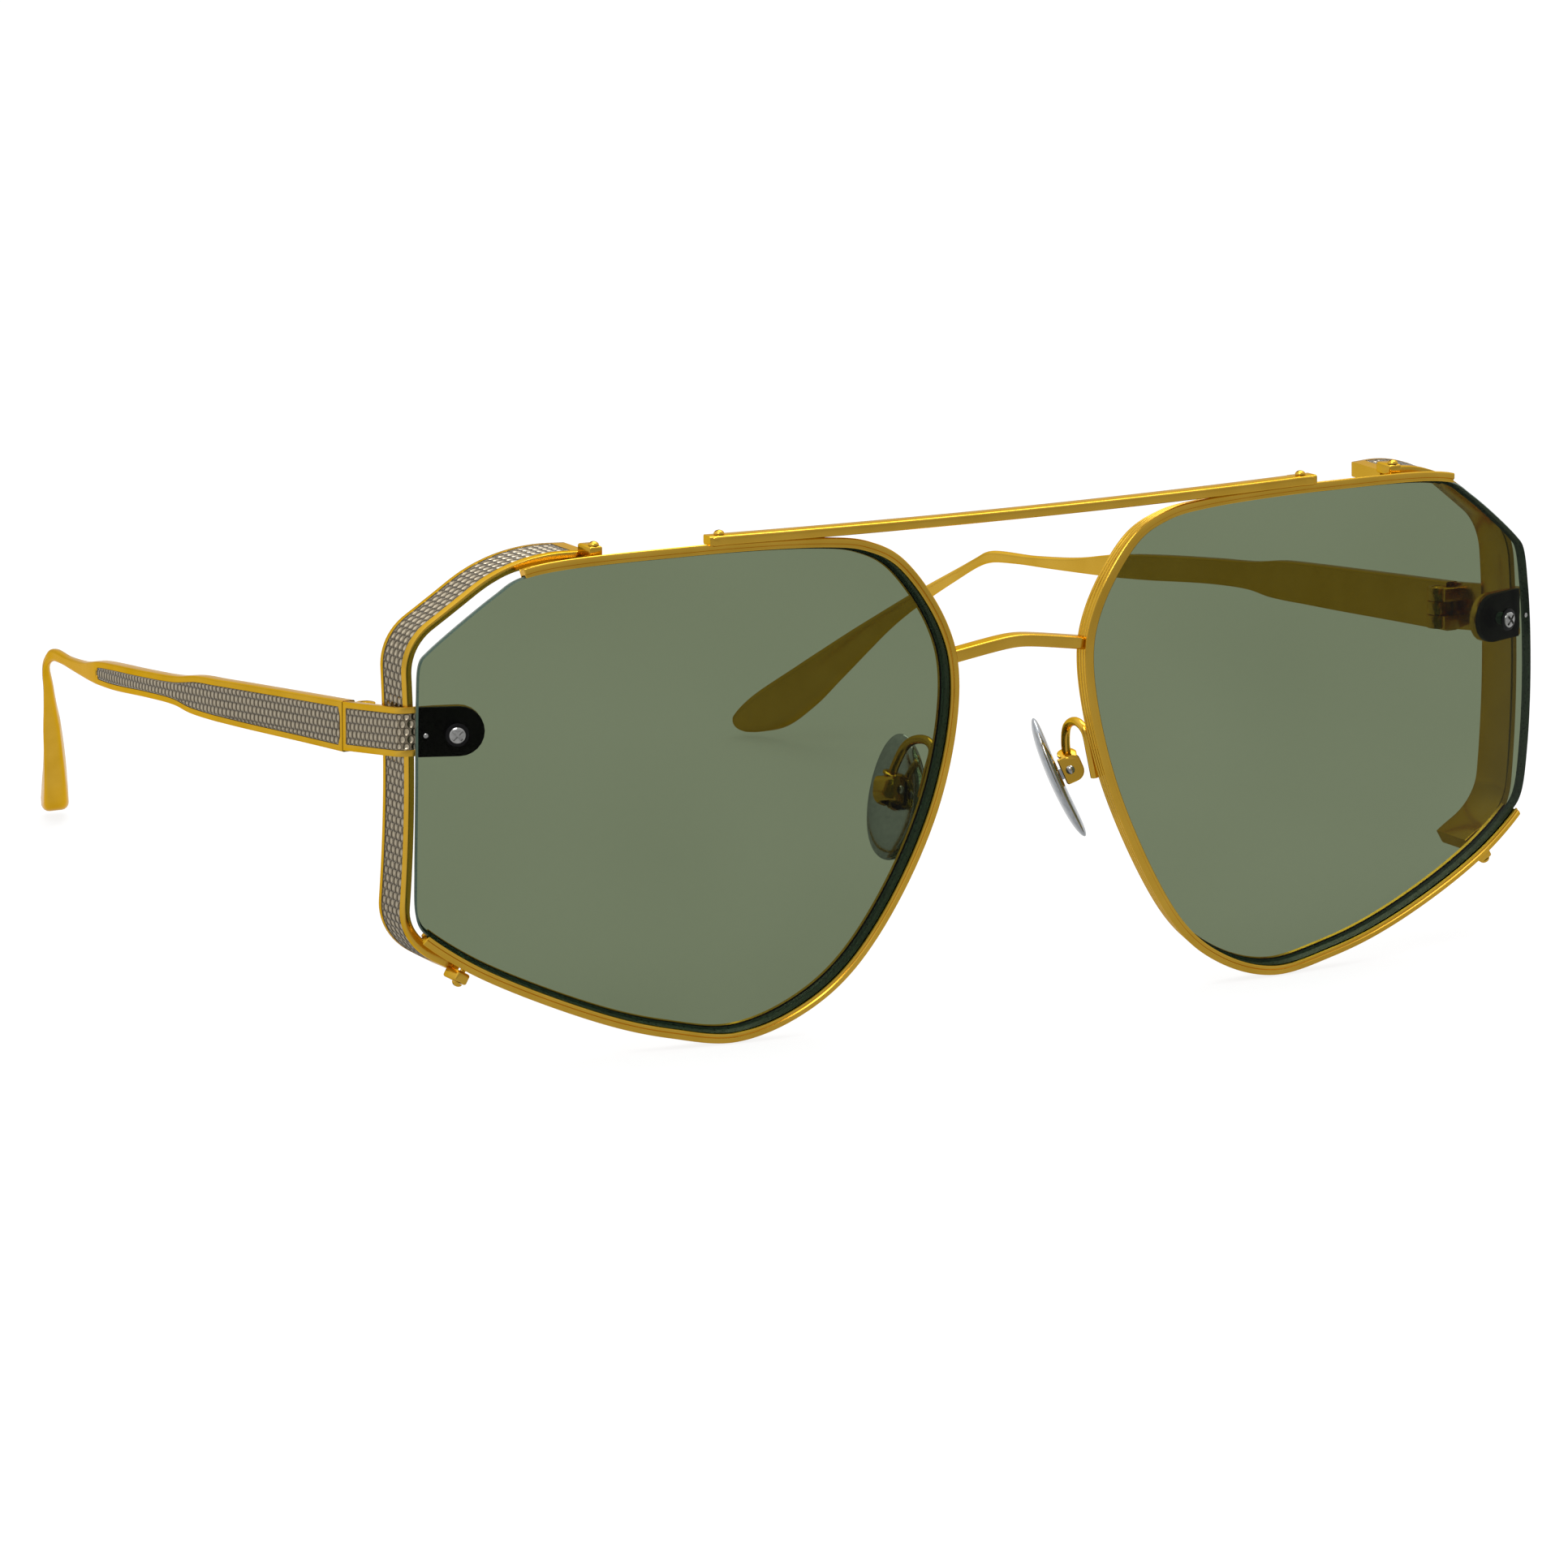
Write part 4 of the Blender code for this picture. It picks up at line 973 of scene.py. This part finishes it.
def along_temple(y, blade, neck, tip):
    """A size that falls to the neck and swells towards the tip."""
    swell = min(max((y - NECK_Y) / (TIP_Y - NECK_Y), 0.0), 1.0)
    return float(np.interp(y, [TAPER_Y, NECK_Y], [blade, neck])) + (tip - neck) * swell ** 1.5


end_point = (Vector(TEMPLE_TOP[-1]) + Vector(TEMPLE_LOW[0])) / 2 + END_BEYOND
top_edge = Track(smooth(TEMPLE_TOP + [end_point[:]], 16, False))
low_edge = Track(smooth([end_point[:]] + TEMPLE_LOW, 16, False)[::-1])


def blade_edges(y):
    """Heights of the blade's lower and upper edge where it runs level."""
    top = np.interp(y, top_edge.line[:, 0], top_edge.line[:, 1])
    low_line = low_edge.line[low_edge.line[:, 0] < LEVEL_UNTIL]
    return float(np.interp(y, low_line[:, 0], low_line[:, 1])), float(top)


def inlay_edges(y, trim):
    """Heights of the inlay's edges: the blade less a border, drawn in to a round end."""
    low, top = blade_edges(y)
    middle, half = (low + top) / 2, (top - low) / 2 - BORDER - trim
    left = INLAY_END - trim - y
    if left < half:
        half *= math.sqrt(max(0.0, 1 - (1 - left / half) ** 2))
    return middle - half, middle + half


def temple_section(f):
    """Ring round the temple at a share of its length, sunk where the inlay lies."""
    top, low = top_edge.place(f * top_edge.long), low_edge.place(f * low_edge.long)
    middle = (top + low) / 2
    wide = (top - low).length
    full = along_temple(middle.x, TEMPLE_THICK, NECK_THICK, TIP_THICK)
    thick = full * min(1.0, (wide / END_WIDE) ** 0.5)
    e = min(along_temple(middle.x, BLADE_EDGE, NECK_EDGE, TIP_EDGE), wide * EDGE_SHARE, thick * EDGE_SHARE)
    sunk = 0.0
    near, far = 0.3, 0.7
    if SEAM_Y + SEAM_GAP + BORDER < middle.x < INLAY_END:
        inner = inlay_edges(middle.x, 0.0)
        near, far = [(z - low.y) / (top.y - low.y) for z in inner]
        sunk = INLAY_DEEP
    shift = (full - thick) / 2
    line = [(e / wide, 0.0), (near, 0.0), (near, sunk), (far, sunk), (far, 0.0)]
    line += [(1 - (e - e * math.sin(a)) / wide, e - e * math.cos(a)) for a in QUARTER]
    line += [(1 - (e - e * math.cos(a)) / wide, thick - e + e * math.sin(a)) for a in QUARTER]
    line += [((e - e * math.sin(a)) / wide, thick - e + e * math.cos(a)) for a in QUARTER]
    line += [((e - e * math.cos(a)) / wide, e - e * math.sin(a)) for a in QUARTER[:-1]]
    ring = []
    for v, under in line:
        p = low.lerp(top, v)
        ring.append(Vector((SIDE_X - bend(p.x) - shift - under, p.x, p.y)))
    return ring


def temple():
    """Sections along the blade, closer together towards the rounded end of the tip."""
    shares = set(np.linspace(0, 0.9, TEMPLE_STATIONS))
    shares |= {1 - 0.1 * (1 - k / 40) ** 1.6 for k in range(40)}
    return clean(loft([temple_section(f) for f in sorted(shares)]))


def temple_inlay():
    start = SEAM_Y + SEAM_GAP + BORDER + INLAY_GAP
    long = INLAY_END - INLAY_GAP - start

    def height(y, t):
        low, top = inlay_edges(y, INLAY_GAP)
        return low + (top - low) * t

    def place(s, t, depth):
        return Vector((SIDE_X - bend(start + s) - INLAY_GAP - depth, start + s, height(start + s, t)))

    def spot(s, t):
        return s, height(start + s, t) - height(start, 0.5) + INLAY_SLOPE * s

    def wide(s):
        return height(start + s, 1.0) - height(start + s, 0.0)

    return pressed_inlay(place, spot, wide, long, INLAY_DEEP - 2 * INLAY_GAP)


def temple_knuckle():
    """Middle knuckle of the hinge, on a web from the blade."""
    half = KNUCKLE_TALL / 2
    barrel = rod(KNUCKLE, -half, half, hinge, 40)
    web = block((0, SEAM_GAP / 2 + 0.05, -half), (SIDE_X - HINGE_X - 1.0, 1.7, half), hinge)
    whole = joined(barrel, [web], "UNION")
    return softened(joined(whole, [rod(PIN_R + 0.05, -4, 4, hinge)], "DIFFERENCE"), 0.06, 2, 40)


pair("temple", temple(), "temple", "gold", "temple", 40)
pair("temple_inlay", temple_inlay(), "temple", "silver", "temple_inlay", 60)
pair("temple_knuckle", temple_knuckle(), "temple", "gold")


# Nose pads

pad_across = PAD_DOWN.cross(PAD_FACE)
pad_basis = Matrix((pad_across, PAD_DOWN, PAD_FACE)).transposed().to_4x4()
pad_basis.translation = PAD_PIN
pin_basis = basis_at(PAD_PIN, -pad_across, PAD_DOWN)


def nose_pad():
    """Egg-shaped pad as thin as a lens, with a blunt edge, bowed towards the nose, on a lug."""
    rings = []
    for i in range(1, 32):
        a = math.pi * (i / 32 - 0.5)
        share, height = math.cos(a) ** 0.5, PAD_THICK / 2 * math.sin(a)
        ring = []
        for k in range(72):
            turn = 2 * math.pi * k / 72
            y = share * math.sin(turn)
            x = share * math.cos(turn) * (1.0 + PAD_EGG * y)
            z = PAD_OFF + PAD_THICK / 2 + height - PAD_BOW * y * y
            place = Vector((PAD_MIDDLE + PAD_HALF_WIDE * x, PAD_MIDDLE + PAD_HALF_LONG * y, z))
            ring.append(pad_basis @ place)
        rings.append(ring)
    low, high = (-LUG_HALF_WIDE, -LUG_HALF_LONG, -0.6), (LUG_HALF_WIDE, LUG_HALF_LONG, PAD_OFF + 0.4)
    lug = softened(block(low, high, pad_basis), 0.15)
    return joined(joined(loft(rings), [lug], "UNION"), [rod(0.4, -3, 3, pin_basis)], "DIFFERENCE")


def pad_arm():
    """Bent wire with a clamp on its end."""
    path = smooth(ARM_PATH, 12, False)
    turns = np.linspace(0, 2 * math.pi, 17)[:-1]
    rings = []
    side = Vector((1, 0, 0))
    for i, p in enumerate(path):
        run = (path[min(i + 1, len(path) - 1)] - path[max(i - 1, 0)]).normalized()
        side = (side - run * side.dot(run)).normalized()
        other = run.cross(side)
        rings.append([p + (side * math.cos(a) + other * math.sin(a)) * ARM_R for a in turns])
    shape = rounded(CLAMP_SHAPE, 6)[:-1]
    ends = [(-CLAMP_R, 0.92), (0.15 - CLAMP_R, 1.0), (CLAMP_R - 0.15, 1.0), (CLAMP_R, 0.92)]
    clamp = loft([[pad_basis @ Vector((x, p.x * share, p.y * share)) for p in shape] for x, share in ends])
    slot = block((-CLAMP_SLOT, -0.95, -0.9), (CLAMP_SLOT, 3, 2), pad_basis)
    collar = turned(COLLAR, basis_at(ARM_COLLAR, Vector(ARM_PATH[-1]) - ARM_COLLAR), 32)
    arm = joined(loft(rings), [clamp, collar], "UNION")
    return joined(arm, [slot, rod(0.35, -3, 3, pin_basis)], "DIFFERENCE")


pair("nose_pad", nose_pad(), "nose_pad", "titanium", "nose_pad")
pair("pad_arm", pad_arm(), "front", "gold", "pad_arm", 40)
pair("pad_screw", turned(PAD_SCREW, pin_basis, 28), "front", "steel", "pad_screw")


# Floor, light and camera

def whole_white(tree):
    """1 for what the camera sees, by itself or through the lenses, and 0 for all other light."""
    path = add(tree, "ShaderNodeLightPath", {})
    either = {0: path.outputs["Is Camera Ray"], 1: path.outputs["Is Transmission Ray"]}
    return add(tree, "ShaderNodeMath", either, operation="MAXIMUM").outputs[0]


def studio():
    """Pale floor, white surroundings that are dimmer in front and near the ground, and two soft lamps."""
    mesh = bpy.data.meshes.new("floor")
    bm = bmesh.new()
    bmesh.ops.create_grid(bm, x_segments=1, y_segments=1, size=FLOOR_HALF)
    bm.to_mesh(mesh)
    bm.free()
    floor = bpy.data.objects.new("floor", mesh)
    bpy.context.scene.collection.objects.link(floor)
    floor.location.z = -FLOOR_DROP
    material, tree, place = finish("pale_studio_paper")
    split = add(tree, "ShaderNodeSeparateXYZ", {0: place})
    dim = add(tree, "ShaderNodeMapRange", {"Value": split.outputs["Y"], "From Min": -0.2, "From Max": 0.1,
                                           "To Min": 0.3, "To Max": 0.6}, interpolation_type="SMOOTHSTEP")
    white = add(tree, "ShaderNodeMath", {0: whole_white(tree), 1: FLOOR_WHITE}, operation="MULTIPLY")
    level = add(tree, "ShaderNodeMath", {0: white.outputs[0], 1: dim.outputs["Result"]}, operation="MAXIMUM")
    glow = add(tree, "ShaderNodeEmission", {"Color": linear("FFFFFF"), "Strength": level.outputs[0]})
    paper = add(tree, "ShaderNodeBsdfDiffuse", {"Color": linear("696969")})
    surface = add(tree, "ShaderNodeAddShader", {0: paper.outputs["BSDF"], 1: glow.outputs["Emission"]})
    add(tree, "ShaderNodeOutputMaterial", {"Surface": surface.outputs["Shader"]})
    mesh.materials.append(material)

    world = bpy.data.worlds.new("studio")
    bpy.context.scene.world = world
    world.use_nodes = True
    tree = world.node_tree
    tree.nodes.clear()
    place = add(tree, "ShaderNodeTexCoord", {})
    split = add(tree, "ShaderNodeSeparateXYZ", {0: place.outputs["Generated"]})
    sky = add(tree, "ShaderNodeMapRange", {"Value": split.outputs["Z"], "From Min": 0.0, "From Max": 0.8,
                                           "To Min": 0.7, "To Max": 1.15}, interpolation_type="SMOOTHSTEP")
    side = add(tree, "ShaderNodeMapRange", {"Value": split.outputs["Y"], "From Min": -0.75, "From Max": 0.15,
                                            "To Min": 0.6, "To Max": 1.0}, interpolation_type="SMOOTHSTEP")
    dim = add(tree, "ShaderNodeMath", {0: sky.outputs["Result"], 1: side.outputs["Result"]},
              operation="MULTIPLY")
    level = add(tree, "ShaderNodeMath", {0: whole_white(tree), 1: dim.outputs[0]}, operation="MAXIMUM")
    around = add(tree, "ShaderNodeBackground", {"Color": linear("FFFFFF"), "Strength": level.outputs[0]})
    add(tree, "ShaderNodeOutputWorld", {"Surface": around.outputs["Background"]})

    for name, spot, size, power in LAMPS:
        lamp = bpy.data.lights.new(name, "AREA")
        lamp.size = size
        lamp.energy = power
        obj = bpy.data.objects.new(name, lamp)
        obj.location = spot
        obj.rotation_euler = (-Vector(spot)).to_track_quat("-Z", "Y").to_euler()
        bpy.context.scene.collection.objects.link(obj)


def camera():
    """A long lens at the photograph's angle and distance."""
    turn, rise = math.radians(VIEW_TURN), math.radians(VIEW_RISE)
    right = Vector((math.cos(turn), math.sin(turn), 0))
    back = Vector((math.sin(turn) * math.cos(rise), -math.cos(turn) * math.cos(rise), math.sin(rise)))
    up = back.cross(right)
    data = bpy.data.cameras.new("camera")
    data.sensor_width = SENSOR
    data.lens = VIEW_FOCUS / IMAGE_WIDE * SENSOR
    data.clip_end = CLIP_END
    obj = bpy.data.objects.new("camera", data)
    obj.matrix_world = Matrix((right, up, back)).transposed().to_4x4()
    obj.location = DATUM + (back * VIEW_AWAY + right * VIEW_RIGHT + up * VIEW_UP) * MM
    bpy.context.scene.collection.objects.link(obj)
    bpy.context.scene.camera = obj


studio()
camera()
bpy.context.scene.view_settings.view_transform = "Standard"
